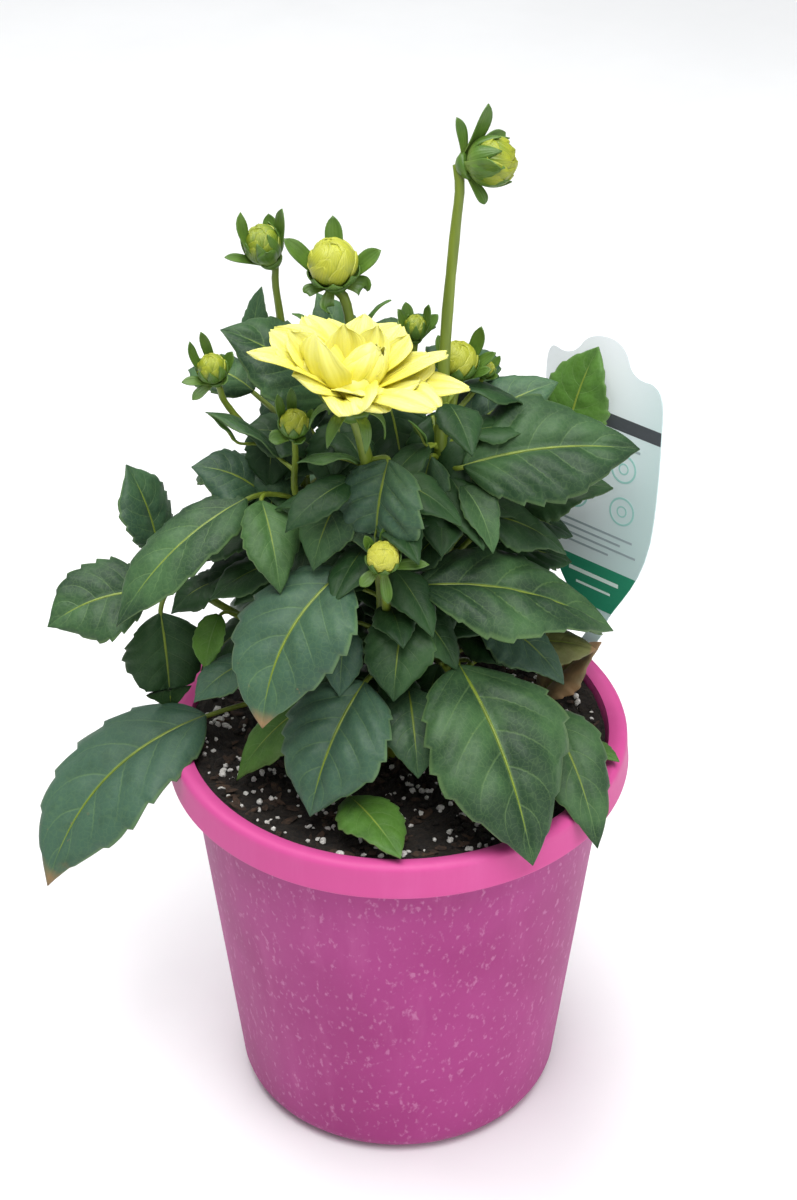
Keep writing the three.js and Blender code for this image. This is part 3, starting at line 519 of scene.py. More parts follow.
def pot_material():
    """The pot's pink plastic: a rim painted brighter than the wall as painted light, and dust, specks and
    faint streaks on its wall.
    """
    paint = Paint("pot_plastic", 0.5)
    height = paint.parts(paint.place())[2]
    band_foot = POT_HEIGHT - BAND_HEIGHT
    rim = height.step((band_foot - 3) * MM, band_foot * MM)
    streaks = paint.noise(60, 5, (1, 1, 0.16), 0.6)
    specks = paint.noise(420, 4, (1, 1, 0.6)).step(0.56, 0.72)
    wall = paint.noise(14).step(0.3, 0.75).between(linear(152, 44, 114), linear(166, 56, 128))
    wall = streaks.step(0.5, 0.8, 0, 0.3).between(wall, linear(196, 110, 160))
    wall = (specks * 0.35).between(wall, linear(212, 150, 186))
    # The rim's band is painted brighter than the wall: painted light.
    band = streaks.step(0.45, 0.8, 0, 0.25).between(linear(202, 76, 143), linear(218, 108, 169))
    paint.set("Roughness", streaks * 0.25 + 0.4)
    paint.set("Specular IOR Level", 0.3)
    return paint.finish(rim.between(wall, band), paint.noise(260) + streaks, 0.12, 0.0006)


def crumb_material(name, dark, light, roughness, scale):
    """A grainy matt stuff between two colours."""
    paint = Paint(name, roughness)
    grain = paint.noise(scale, 5, (1, 1, 1), 0.65)
    return paint.finish(grain.step(0.3, 0.72).between(dark, light), grain, 0.8, 0.0012)


def tag_material():
    """The tag's plastic: white, with a painted shade of pale green towards its right side and foot."""
    paint = Paint("tag_plastic", 0.3)
    along, across = paint.blade_map()
    shade = across * 0.35 + along * -0.6
    grain = paint.noise(300)
    # White going to a pale green of painted shade towards the right side and foot.
    colour = shade.step(-0.62, 0.1).between(linear(243, 247, 251), linear(190, 214, 212))
    colour = (grain * 0.12).between(colour, linear(214, 226, 222))
    paint.set("Roughness", grain * 0.15 + 0.25)
    return paint.finish(colour, grain, 0.06, 0.0003)


def ink_material(name, colour):
    """Flat printing of one colour, a little uneven."""
    paint = Paint(name, 0.35)
    grain = paint.noise(900, 2)
    paler = [min(255, level + 40) for level in colour]
    return paint.finish((grain * 0.2).between(linear(*colour), linear(*paler)), grain, 0.05, 0.0002)


# Each leaf material's colours: deep and light green, fresh green, the bluish green of a painted sheen, and
# the veins.
LEAF_TOP = leaf_material("leaf", linear(32, 58, 34), linear(63, 96, 56), linear(84, 128, 36),
                         linear(62, 92, 74), linear(112, 142, 84), 0.55)
LEAF_UNDER = leaf_material("leaf_under", linear(50, 78, 42), linear(72, 100, 56), linear(100, 136, 60),
                           linear(64, 92, 68), linear(124, 148, 86), 0.6)
PLANT = [LEAF_TOP, LEAF_UNDER, stem_material(), bract_material()]
TOP, UNDER, STALK, CUP = range(4)
BUD = bud_material()


# Leafy stems: stalks are points with the radius at foot and top. A leaf grows from a stalk at the
# height its petiole can rise from. Its blade goes from its neck to its tip. Its middle arches up by
# the bow and aside by the swing, and it is rolled about its length by an angle in degrees. Its cup
# lifts its edges or, below 0, drops them, and its quilt is how strongly it is puckered. Its tone is
# above 0 for fresh green and below 0 for a bluish green that is a painted blue-grey sheen. Its dryness
# is 1 for a browned tip and up to 2 for a withered leaf, and below 0 darkens it with painted shade.
def leaf(neck, tip, width, bow, roll=0, on="main", cup=0.0, swing=0.0, tone=0.0, dry_and_shade=0.0, quilt=1.0):
    return {"on": on, "neck": np.array(neck, dtype=float), "tip": np.array(tip, dtype=float),
            "width": width, "bow": bow, "roll": roll, "cup": cup, "swing": swing, "tone": tone,
            "dry_and_shade": dry_and_shade, "quilt": quilt}


# A bud sits at the top of the stalk it is on. Its bracts are given by their tips, from the bud's
# middle, and their widths. Its cover is how far its green scales reach over it, from -1 at its foot
# to 1 at its tip.
def bud(on, centre, axis, radius, bracts, tone=0.0, cover=0.1):
    return {"on": on, "centre": np.array(centre, dtype=float), "axis": unit(np.array(axis, dtype=float)),
            "radius": radius, "bracts": bracts, "tone": tone, "cover": cover}


# Values of dryness below 0 that darken the leaves inside the plant with painted shade, from dark to
# darkest.
IN_SHADE = -0.45
DEEPER_SHADE = -0.6
DEEPEST_SHADE = -0.7

# The right stem, the tallest.
RIGHT_STALKS = {
    "main": ([(20, 8, -28), (20, 8, 6), (18, 8, 70), (17, 8, 132), (18.8, 7.5, 195), (22, 10, 238),
              (23.5, 11, 256)], (3.6, 1.9)),
    "side": ([(16, 10, 132), (20, 14, 150), (23, 17, 162)], (1.8, 1.5)),
    "twig": ([(20, 14, 150), (28, 19, 157)], (1.2, 1.0)),
}
RIGHT_LEAVES = [
    leaf((26, 0, 137), (98, 6, 141), 56, 5, 26, dry_and_shade=-0.25, quilt=1.7),
    leaf((24, 26, 132), (66, 38, 154), 44, 5, 14, tone=-0.4),
    leaf((13, 2, 140), (8, -8, 108), 28, 4, tone=-0.2),
    leaf((71, 46, 124), (83, 52, 163), 34, 2, 24, tone=0.6),
    leaf((49, 26, 102), (90, 26, 110), 34, 5, 10, dry_and_shade=IN_SHADE),
    leaf((30, 4, 112), (70, 6, 90), 32, 5, 6, dry_and_shade=IN_SHADE),
    leaf((30, 4, 64), (70, -12, 36), 34, 6, 10, tone=-0.8),
    leaf((25, -34, 62), (54, -97, 8), 66, 12, quilt=1.3),
    leaf((60, -22, 32), (82, -73, -3), 34, 10, 6),
    leaf((76, -20, 8), (93, -34, 12), 14, 3, tone=0.5),
    leaf((50, 13, 40), (85, 12, 37), 31, 3, 8, cup=-0.2, tone=0.4, dry_and_shade=1.4),
    leaf((26, -6, 131), (38, -27, 112), 17, 5, cup=0.4),
    leaf((21, -5, 110), (3, -15, 94), 26, 3, dry_and_shade=IN_SHADE),
    leaf((46, 18, 58), (88, 16, 42), 34, 6, -8),
    leaf((30, -16, 48), (16, -50, 26), 26, 4),
    leaf((36, 22, 88), (68, 30, 66), 32, 5, dry_and_shade=IN_SHADE),
    leaf((11, -2, 149), (4, -8, 163), 6, 1, tone=0.9, on="side"),
    leaf((14, 20, 148), (17, 4, 122), 26, 4, dry_and_shade=DEEPEST_SHADE),
    leaf((38, 24, 98), (74, 26, 86), 42, 4, dry_and_shade=DEEPEST_SHADE),
    leaf((32, 22, 82), (74, 26, 73), 44, 4, dry_and_shade=DEEPEST_SHADE),
    leaf((60, 12, 10), (88, 22, 34), 27, 3, tone=-0.6, dry_and_shade=2.0),
    leaf((27, 14, 146), (30, -2, 120), 28, 4, dry_and_shade=DEEPEST_SHADE),
]
RIGHT_BUDS = [
    bud("main", (36, 9, 266.5), (0.93, -0.25, 0.25), 9.5,
        [(-14, 2, 17, 4.5), (-2, 3, 22, 6.5), (-3, -4, -16, 5), (5, 13, 6, 7), (4, -12, 3, 9)],
        tone=-0.35, cover=0.55),
    bud("side", (24, 18, 176), (0.15, -0.1, 0.98), 7.6,
        [(9, 3, 13, 6), (15, 0, 3, 5), (13, -5, -2, 4.5), (-8, 9, 6, 5), (-10, -4, 4, 5)], tone=0.2),
    bud("twig", (36, 22, 169.5), (0.4, 0, 0.9), 3.2,
        [(5, 3, 4, 3), (4, -3, -2, 3), (-3, 2, 5, 2.5)], tone=-0.3, cover=0.4),
]

# The left stem.
LEFT_STALKS = {
    "main": ([(-22, 8, -28), (-22, 8, 8), (-30, 12, 60), (-38, 20, 110), (-45, 30, 160), (-48, 34, 188),
              (-49.5, 34, 203)], (3.4, 1.4)),
    "side": ([(-39, 21, 115), (-56, 12, 140), (-70, 6, 164)], (1.6, 1.3)),
    "front": ([(-37, 18, 104), (-42, -2, 126), (-41, -13, 150)], (1.6, 1.2)),
    "low": ([(-25, 9, 30), (-60, 14, 48), (-92, 20, 66)], (2.2, 1.5)),
}
LEFT_LEAVES = [
    leaf((-62, -4, 124), (-114, -38, 84), 40, 8, quilt=1.4),
    leaf((-56, 8, 119), (-85, 12, 129), 34, 4, -12, tone=-0.4),
    leaf((-60, 2, 112), (-88, -4, 112), 18, 3, tone=0.3),
    leaf((-38, 18, 122), (-68, 18, 121), 36, 4, -10, tone=-0.2),
    leaf((-50, 14, 82), (-84, 8, 70), 36, 4, dry_and_shade=IN_SHADE),
    leaf((-55, -14, 129), (-47, -44, 104), 26, 6, -6, tone=0.15, on="front"),
    leaf((-102, 24, 82), (-114, 32, 118), 34, 3, tone=-0.3, on="low"),
    leaf((-106, 10, 69), (-148, -1, 58), 44, 5, -26, on="low"),
    leaf((-102, 18, 52), (-99, 6, 10), 38, 6, dry_and_shade=-0.5, on="low"),
    leaf((-83, -4, 14), (-150, -51, -42), 66, 13, swing=6, tone=-0.9, dry_and_shade=0.8),
    leaf((-60, -4, 44), (-86, -22, 34), 26, 4, tone=-0.8),
    leaf((-76, 8, 58), (-82, -4, 38), 16, 3, cup=0.4, tone=0.8, on="low"),
    leaf((-44, 0, 92), (-78, -10, 78), 28, 4, dry_and_shade=IN_SHADE),
    leaf((-44, -6, 70), (-68, -20, 50), 30, 4, dry_and_shade=IN_SHADE),
    leaf((-27, 2, 106), (-54, 4, 120), 34, 4, dry_and_shade=IN_SHADE),
    leaf((-52, 18, 96), (-92, 14, 86), 42, 5, dry_and_shade=IN_SHADE),
    leaf((-60, 38, 150), (-88, 52, 152), 34, 5),
    leaf((-34, 12, 138), (-64, 12, 146), 38, 4, dry_and_shade=IN_SHADE),
    leaf((-48, -4, 144), (-77, 0, 162), 16, 4, 16, on="front"),
    leaf((-66, 6, 146), (-76, 2, 160), 8, 1, tone=0.6, on="side"),
    leaf((-60, 42, 168), (-56, 50, 192), 13, 2, tone=-0.2),
    leaf((-60, 40, 106), (-84, 57, 97), 42, 6, 6),
    leaf((-62, 34, 76), (-106, 60, 58), 44, 7, -6, dry_and_shade=IN_SHADE),
    leaf((-50, 22, 146), (-53, 6, 122), 26, 4, dry_and_shade=DEEPEST_SHADE),
    leaf((-50, 12, 124), (-54, -4, 98), 28, 4, dry_and_shade=DEEPEST_SHADE),
    leaf((-72, 12, 74), (-96, 3, 62), 26, 4, dry_and_shade=DEEPEST_SHADE, on="low"),
    leaf((-56, 12, 54), (-85, 6, 30), 32, 4, dry_and_shade=DEEPER_SHADE),
]
LEFT_BUDS = [
    bud("main", (-54, 33, 220), (-0.38, -0.1, 0.92), 7.8,
        [(-8, -3, 15, 6.5), (8, -2, 16, 6.5), (-15, -4, -4, 4), (2, 10, 8, 6), (1, -9, 1, 8)],
        tone=-0.8, cover=0.6),
    bud("side", (-74, 4, 180), (-0.25, -0.1, 0.95), 5.8,
        [(-8, -1, 12, 4), (-4, 3, 14, 4), (-12, -3, -5, 4), (-8, -5, -12, 4), (8, 2, 6, 5),
         (6, -5, -3, 4)], tone=-0.35, cover=0.3),
    bud("front", (-41, -17, 167), (0, -0.15, 0.98), 5.6,
        [(-10, -3, -6, 6), (-6, 1, 12, 4), (-1, 4, 13, 4), (7, 0, 6, 4), (3, -7, -5, 5)],
        tone=-0.1, cover=0.3),
]

# The front stem, which carries the bloom.
FRONT_STALKS = {
    "main": ([(-2, -14, -28), (-2, -14, 6), (-5, -15, 60), (-8, -18, 110), (-12, -26, 152),
              (-15, -30, 170)], (3.6, 2.4)),
    "low": ([(-5, -15, 62), (-5, -32, 90), (-6, -44, 112)], (2, 1.6)),
}
FRONT_LEAVES = [
    leaf((7, -26, 96), (89, -18, 68), 57, 9, 8, quilt=2.0, on="low"),
    leaf((-22, -36, 110), (-54, -77, 62), 58, 9, swing=4, dry_and_shade=0.9, tone=-0.7),
    leaf((-22, -26, 76), (-24, -48, 56), 20, 3, tone=-1.0),
    leaf((-28, -30, 46), (-68, -42, 8), 32, 6, tone=0.6),
    leaf((-14, -40, 58), (-36, -77, 17), 54, 8, tone=-0.8, quilt=1.7),
    leaf((-20, -60, 14), (1, -97, 12), 28, 3, tone=0.6),
    leaf((-4, -30, 158), (-8, -40, 117), 44, 7, 10, tone=-0.5, quilt=2.2),
    leaf((-15, -22, 152), (-40, -24, 153), 21, 3, 24, tone=0.3),
    leaf((-20, -20, 140), (-34, -41, 113), 28, 5),
    leaf((4, -33, 50), (8, -66, 28), 32, 5, tone=-0.2),
    leaf((2, -28, 84), (-2, -54, 58), 32, 5, dry_and_shade=IN_SHADE),
    leaf((4, -22, 84), (24, -38, 62), 26, 4, dry_and_shade=IN_SHADE),
]
FRONT_BUDS = [
    bud("low", (-6, -52, 127), (0.05, -0.45, 0.89), 6.2,
        [(-9, -3, -12, 5), (18, -1, -3, 4.5), (2, -5, -19, 4.5), (-7, 4, 7, 4), (1, 6, 10, 4),
         (8, 3, 6, 4)], tone=0.75, cover=0.2),
]

# The back stem, which carries the large bud behind the bloom.
BACK_STALKS = {
    "main": ([(-6, 28, -28), (-6, 28, 6), (-10, 29, 70), (-14, 28, 130), (-19, 22, 188), (-22, 21, 203)],
             (3.6, 2)),
    "side": ([(-13, 28, 110), (0, 37, 145), (6, 38, 166)], (1.7, 1.4)),
}
BACK_LEAVES = [
    leaf((-30, 14, 158), (-71, 17, 190), 44, 6, -22, quilt=1.8),
    leaf((-4, 20, 118), (4, 8, 98), 20, 4),
    leaf((-20, 46, 156), (-34, 64, 182), 26, 4),
    leaf((-30, 16, 190), (-42, 12, 200), 7, 1, tone=0.5),
    leaf((-12, 16, 196), (-3, 12, 206), 8, 1, tone=0.5),
    leaf((-4, 26, 152), (2, 8, 122), 36, 4, dry_and_shade=DEEPEST_SHADE),
    leaf((-24, 10, 152), (-24, -8, 126), 30, 4, dry_and_shade=DEEPEST_SHADE),
]
BACK_BUDS = [
    bud("main", (-26, 20, 218.6), (-0.1, -0.2, 0.97), 9.6,
        [(0, 14, 13, 7), (-19, 4, 8, 7), (19, 2, 4, 7.5), (13, 1, -13, 8), (-11, -2, -13, 5),
         (-2, -5, -20, 6)], tone=0.3, cover=-0.35),
    bud("side", (7, 38, 180), (0.05, 0, 1), 5,
        [(-7, -2, 9, 5.5), (5, -2, 11, 6), (-4, 6, 8, 5), (9, 3, 4, 5)], tone=-0.6, cover=0.6),
]

# The back stem's foliage: tiers of leaves that fan out over the back of the pot, between two azimuths.
# The neck and the tip of a leaf are given by their distance out and their height.
BACK_TIERS = [
    {"from": 46, "to": 142, "count": 4, "neck": (44, 34), "tip": (112, 12), "width": 52},
    {"from": 58, "to": 124, "count": 4, "neck": (44, 80), "tip": (104, 60), "width": 46},
    {"from": 52, "to": 136, "count": 4, "neck": (50, 116), "tip": (96, 122), "width": 42},
    {"from": 62, "to": 118, "count": 3, "neck": (42, 150), "tip": (80, 150), "width": 34},
]
TIER_STEP = 17
TIER_NARROWING = 4
TIER_BOW = 8
TIER_ROLL = 8
TIER_TONES = (-0.3, 0.1, 0.0)

# The small leaves between the large ones, in whorls up each main stalk.
INNER = {"lowest": 30, "step": 16, "count": 3, "neck": 9, "length": 31, "width": 20, "bow": 3.5,
         "rise": 7, "droop": 10, "turn": 47, "roll": 14}


def back_leaves():
    """The back stem's tiers; every other leaf is narrower and stands a step higher and further in."""
    leaves = []
    for tier in BACK_TIERS:
        for i in range(tier["count"]):
            azimuth = math.radians(tier["from"] + (tier["to"] - tier["from"]) * i / (tier["count"] - 1))
            odd = i % 2
            step = TIER_STEP * odd
            out = level_out(azimuth)
            neck = tier["neck"][0] * out + UP * (tier["neck"][1] + step)
            tip = (tier["tip"][0] - step) * out + UP * (tier["tip"][1] + step)
            width = tier["width"] - TIER_NARROWING * odd
            tone = TIER_TONES[i % len(TIER_TONES)]
            leaves.append(leaf(neck, tip, width, TIER_BOW, TIER_ROLL * (1 - 2 * odd), tone=tone))
    return leaves


# What each leafy stem is made of, how high its whorls of small leaves go, and the angle of the first.
LEAFY_STEMS = {
    "leafy_stem_right": {"stalks": RIGHT_STALKS, "leaves": RIGHT_LEAVES, "buds": RIGHT_BUDS,
                         "whorl_top": 166, "whorl_turn": 25},
    "leafy_stem_left": {"stalks": LEFT_STALKS, "leaves": LEFT_LEAVES, "buds": LEFT_BUDS,
                        "whorl_top": 112, "whorl_turn": 70},
    "leafy_stem_front": {"stalks": FRONT_STALKS, "leaves": FRONT_LEAVES, "buds": FRONT_BUDS,
                         "whorl_top": 146, "whorl_turn": 10, "bloom_on": "main"},
    "leafy_stem_back": {"stalks": BACK_STALKS, "leaves": BACK_LEAVES + back_leaves(), "buds": BACK_BUDS,
                        "whorl_top": 166, "whorl_turn": 50},
}


def midrib_of(spec):
    """The start, bend and end of a leaf's arched middle."""
    start, end = spec["neck"], spec["tip"]
    right, face = facing(unit(end - start), 0)
    return start, (start + end) / 2 + 2 * spec["bow"] * face + 2 * spec["swing"] * right, end


LEAF_PEAK = 0.4
LEAF_RISE = 0.7


def leaf_outline(share):
    """A blade's half width as a share of the most, which it reaches at the peak."""
    fall = LEAF_RISE * (1 - LEAF_PEAK) / LEAF_PEAK
    return (share / LEAF_PEAK) ** LEAF_RISE * ((1 - share) / (1 - LEAF_PEAK)) ** fall


def foot_of(stalk, neck):
    """The point of a stalk from which a petiole rises to a neck with the set slope."""
    points = stalk[stalk[:, 2] > LOWEST_FOOT]
    away = np.hypot(points[:, 0] - neck[0], points[:, 1] - neck[1])
    miss = np.abs(neck[2] - points[:, 2] - PETIOLE_SLOPE * away) + SHORT_PETIOLE * away
    return points[np.argmin(miss)]


def leaf_stations(width):
    """How many points a blade gets along and across it."""
    if width > 40:
        return 60, 23
    return (40, 15) if width > 20 else (24, 11)


# The form of a blade's cross-section, in shares of its half width: how its halves rise from the middle
# and sag at the edges, how the edges roll under and run unevenly, how it puckers, and how deep and
# wide its middle groove is. It has teeth between two shares of its length.
LEAF_RIDGE = 0.22
LEAF_SAG = 0.26
EDGE_ROLL = 0.25
EDGE_ROLL_START = 0.8
EDGE_UNEVEN = 0.05
LEAF_PUCKER = 0.3
MIDRIB_DEPTH = 0.04
MIDRIB_HALF = 0.08
TOOTHED = (0.12, 0.97)


def leaf_blade(builder, spec):
    """A leaf's blade: toothed edges, hollows along its veins and puckered swellings between them."""
    curve = midrib_of(spec)
    n, m = leaf_stations(spec["width"])
    across = np.linspace(-1, 1, m)
    away = np.abs(across)
    own = spec["neck"][0] * 0.37 + spec["neck"][1] * 0.21 + spec["tip"][2] * 0.13
    rows = np.empty((n, m, 3))
    normals = np.empty((n, m, 3))
    for i, share in enumerate(np.linspace(0, 1, n)):
        centre = quadratic(*curve, share)
        right, face = facing(quadratic_tangent(*curve, share), math.radians(spec["roll"]))
        half = max(NECK_HALF * (1 - 0.9 * share), 0.5 * spec["width"] * leaf_outline(share) * 0.97)
        count = TEETH + 0.6 * np.sign(across)
        tooth = TOOTH_DEPTH * (1 - (share * count + 0.1 * own) % 1) * (TOOTHED[0] < share < TOOTHED[1])
        uneven = EDGE_UNEVEN * np.sin(9 * share + own + 2 * np.sign(across))
        reach = half * across * (1 - (tooth + uneven) * away ** 3)
        dome = half * (LEAF_RIDGE * away + (spec["cup"] - LEAF_SAG) * across ** 2)
        ripple = EDGE_WAVE * np.sin(2 * np.pi * (1.4 * share + 0.2 * across)) * across ** 2
        ripple *= min(1, half / 12)
        curl = -EDGE_ROLL * half * np.maximum(0, away - EDGE_ROLL_START) * (1 + np.sin(7 * share + own))
        phase = VEINS * (share - away * (VEIN_SLANT + VEIN_CURVE * away)) + VEIN_STAGGER * (across > 0)
        swell = np.abs(np.sin(np.pi * phase)) ** 0.7 * (1 - away ** 3) * np.minimum(1, 4 * away)
        pucker = LEAF_PUCKER * np.sin(2.3 * phase * np.pi + 9 * across + own) * away * (1 - away ** 2)
        groove = -MIDRIB_DEPTH * half * np.exp(-(away / MIDRIB_HALF) ** 2)
        height = dome + ripple + curl + QUILT * spec["quilt"] * half * (swell + pucker) + groove
        rows[i] = centre + np.outer(reach, right) + np.outer(height, face)
        normals[i] = face
    builder.sheet(rows, normals, BLADE_THICKNESS, TOP, UNDER, spec["tone"], spec["dry_and_shade"])


# A petiole's radii where it leaves the stalk, along its free length and under the blade.
PETIOLE_STEPS = 14
PETIOLE_FLARE = 2
FREE_RADII = (1.3, 1.05)
MIDRIB_RADII = (0.95, 0.2)


def petiole(builder, spec, stalk):
    """The stalk of a leaf, which runs on under its blade as a midrib that thins out."""
    neck = spec["neck"]
    foot = foot_of(stalk, neck)
    reach = np.linalg.norm(neck - foot)
    out = unit((neck - foot) * [1, 1, 0])
    leave = foot + out * reach * 0.25 + UP * reach * 0.25
    curve = midrib_of(spec)
    arrive = neck - quadratic_tangent(*curve, 0) * reach * 0.3
    path = []
    for share in np.linspace(0, 0.97, PETIOLE_STEPS):
        path.append(cubic(foot, leave, arrive, neck, share) - UP * 0.9 * share)
    for share in np.linspace(0.03, 0.9, PETIOLE_STEPS):
        _, face = facing(quadratic_tangent(*curve, share), math.radians(spec["roll"]))
        path.append(quadratic(*curve, share) - face * (1.0 - 0.45 * share))
    thin = min(1.0, 0.45 + spec["width"] / 60)
    ends = (FREE_RADII, MIDRIB_RADII)
    radii = np.concatenate([np.linspace(*pair, PETIOLE_STEPS) for pair in ends]) * thin
    radii[0] = PETIOLE_FLARE * thin
    builder.tube(np.array(path), radii, STALK, 8, max(0.0, spec["tone"]) * 0.8 + 0.25)


def bud_seat(spec):
    """Where a bud's foot rests in its cup."""
    return spec["centre"] - spec["axis"] * (spec["radius"] + GAP)


BRACT_STATIONS = (14, 7)
BRACT_HOLLOW = 0.28
BRACT_TURN = np.array([0.0, -0.7, 0.3])
BUD_SCALES = 8


def curled(builder, start, bend, end, width, face, tone=0.0, blunt=False):
    """A narrow bract that is hollow along its middle and curled, with a pointed or a blunt tip."""
    n, m = BRACT_STATIONS
    across = np.linspace(-1, 1, m)
    rows = np.empty((n, m, 3))
    normals = np.empty((n, m, 3))
    for i, share in enumerate(np.linspace(0, 1, n)):
        along = quadratic_tangent(start, bend, end, share)
        right = unit(np.cross(along, face))
        above = np.cross(right, along)
        shape = 0.5 + 1.1 * share - 1.58 * share ** 5 if blunt else 0.62 + 0.9 * share - 1.5 * share ** 2.6
        half = max(0.12, 0.5 * width * shape)
        rows[i] = quadratic(start, bend, end, share) + np.outer(half * across, right)
        rows[i] += np.outer(BRACT_HOLLOW * half * across ** 2, above)
        normals[i] = above
    builder.sheet(rows, normals, BLADE_THICKNESS, CUP, CUP, tone)


def cup_shape(builder, top, axis, top_radius, foot_radius, depth):
    """The cup in which a bud or the bloom sits, down from the middle of its top."""
    profile = [(-depth, foot_radius), (-0.8 * depth, 0.55 * top_radius), (-0.45 * depth, 0.86 * top_radius),
               (-0.12 * depth, top_radius), (0, 0.94 * top_radius)]
    builder.rings(turned(top, axis, profile, 20), CUP)


def bud_calyx(builder, spec):
    """A bud's cup with its bracts, and the green scales round the bud's foot."""
    axis, centre, r = spec["axis"], spec["centre"], spec["radius"]
    top = bud_seat(spec)
    cup_shape(builder, top, axis, 0.62 * r, 1.2, 0.55 * r)
    for x, y, z, width in spec["bracts"]:
        tip = np.array([x, y, z], dtype=float)
        high = tip.dot(axis)
        out = unit(tip - high * axis)
        start = top - 0.12 * r * axis + 0.35 * r * out
        bend = centre + (0.55 * high - 0.35 * r) * axis + 1.3 * r * out
        curled(builder, start, bend, centre + tip, width, 0.5 * axis - 0.8 * out + BRACT_TURN, blunt=True)
    for i in range(BUD_SCALES):
        angle = 2 * np.pi * i / BUD_SCALES
        high = spec["cover"] + 0.12 * (i % 2)
        start = round_axis(centre, axis, -0.93 * r, 0.45 * r, angle)
        bend = round_axis(centre, axis, -0.6 * r + 0.2 * high * r, 1.28 * r, angle)
        end = round_axis(centre, axis, high * r, 1.08 * r * math.sqrt(1 - 0.8 * high * high), angle)
        face = round_axis(centre, axis, 0.2, 1, angle) - centre
        curled(builder, start, bend, end, 0.86 * r, -face, 0.3)


# A closed bud's petals, from the innermost tier out: how many, how near the tip of the bud they reach
# (an angle), their distance from its middle as a share of its radius, and the turn of the tier. They
# start at an angle near its foot, and the end of each closes to a round tip.
BUD_TIERS = [
    {"count": 4, "reach": 0.05, "radius": 0.9, "turn": 0.3},
    {"count": 5, "reach": 0.38, "radius": 0.94, "turn": 0.0},
    {"count": 5, "reach": 0.8, "radius": 0.98, "turn": 0.55},
    {"count": 6, "reach": 1.3, "radius": 1.01, "turn": 0.2},
]
BUD_SWIRL = 0.5
BUD_CORE = 0.86
BUD_PETAL_FOOT = 2.95
BUD_PETAL_END = 0.28
BUD_PETAL_OVERLAP = 1.18
BUD_PETAL_THICKNESS = 0.4


def bud_ball(spec):
    """A closed bud: a core wrapped in tiers of broad petals, each folded over the one within."""
    axis, centre = spec["axis"], spec["centre"]
    first, second = square_to(axis)
    builder = Builder()

    def place(polar, angle, radius):
        flat = spec["radius"] * radius * math.sin(polar)
        outward = math.cos(angle) * first + math.sin(angle) * second
        return centre + spec["radius"] * radius * math.cos(polar) * axis + flat * outward

    polars = np.linspace(3.1, 0.04, 20)
    turns = 2 * np.pi * np.arange(28) / 28
    core = np.array([[place(polar, turn, BUD_CORE) for turn in turns] for polar in polars])
    builder.rings(core, 0, spec["tone"])
    n, m = 22, 13
    for level, tier in enumerate(BUD_TIERS):
        for k in range(tier["count"]):
            own = 3.7 * k + 1.9 * level
            middle = 2 * math.pi * (k + tier["turn"]) / tier["count"]
            reach = tier["reach"] * (1 + 0.18 * math.sin(own))
            rows = np.empty((n, m, 3))
            for i, share in enumerate(np.linspace(0, 1, n)):
                polar = BUD_PETAL_FOOT + (reach - BUD_PETAL_FOOT) * share
                swirl = BUD_SWIRL * share ** 2
                beyond = max(0.0, share - 1 + BUD_PETAL_END) / BUD_PETAL_END
                closing = math.sqrt(max(0.0, 1 - beyond ** 2))
                spread = math.pi / tier["count"] * BUD_PETAL_OVERLAP * max(0.06, closing)
                if polar < 0.9:
                    spread *= 1 + 0.5 * (0.9 - polar)
                for j, side in enumerate(np.linspace(-1, 1, m)):
                    swell = (0.055 + 0.025 * math.sin(5 * share + own)) * (1 - side ** 2)
                    tuck = -0.025 * (1 + side)
                    crinkle = 0.012 * math.sin(9 * side + own) * share
                    radius = tier["radius"] + swell + tuck + crinkle
                    rows[i, j] = place(polar, middle + swirl + side * spread, radius)
            builder.sheet(rows, unit(rows - centre), BUD_PETAL_THICKNESS, 0, 0, spec["tone"])
    return builder


def inner_leaves(stem, stalk):
    """Whorls of small leaves round a stalk, darkened with painted shade, each whorl turned from the last.
    """
    leaves = []
    first = stem["whorl_turn"]
    for level, z in enumerate(np.arange(INNER["lowest"], stem["whorl_top"], INNER["step"])):
        foot = stalk[np.argmin(np.abs(stalk[:, 2] - z))]
        for k in range(INNER["count"]):
            own = 3 * level + 2 * k + first
            azimuth = first + INNER["turn"] * level + 360 * k / INNER["count"] + 14 * math.sin(own)
            out = level_out(math.radians(azimuth))
            neck = foot + INNER["neck"] * out + UP * INNER["rise"]
            drop = UP * (9 * math.sin(own) - INNER["droop"])
            tip = neck + out * INNER["length"] * (1 - 0.12 * (k % 2)) + drop
            roll = INNER["roll"] * math.sin(own + 1)
            leaves.append(leaf(neck, tip, INNER["width"], INNER["bow"], roll, dry_and_shade=DEEPER_SHADE))
    return leaves


# Under a bud its stalk runs along the bud's axis from the bend, and it ends just inside the cup.
STALK_STEPS = 60
STALK_KNOTS = 0.05
BUD_BEND = 4.5
BUD_STALK_END = 0.4
MAIN_TONE = 0.15
SIDE_TONE = 0.35


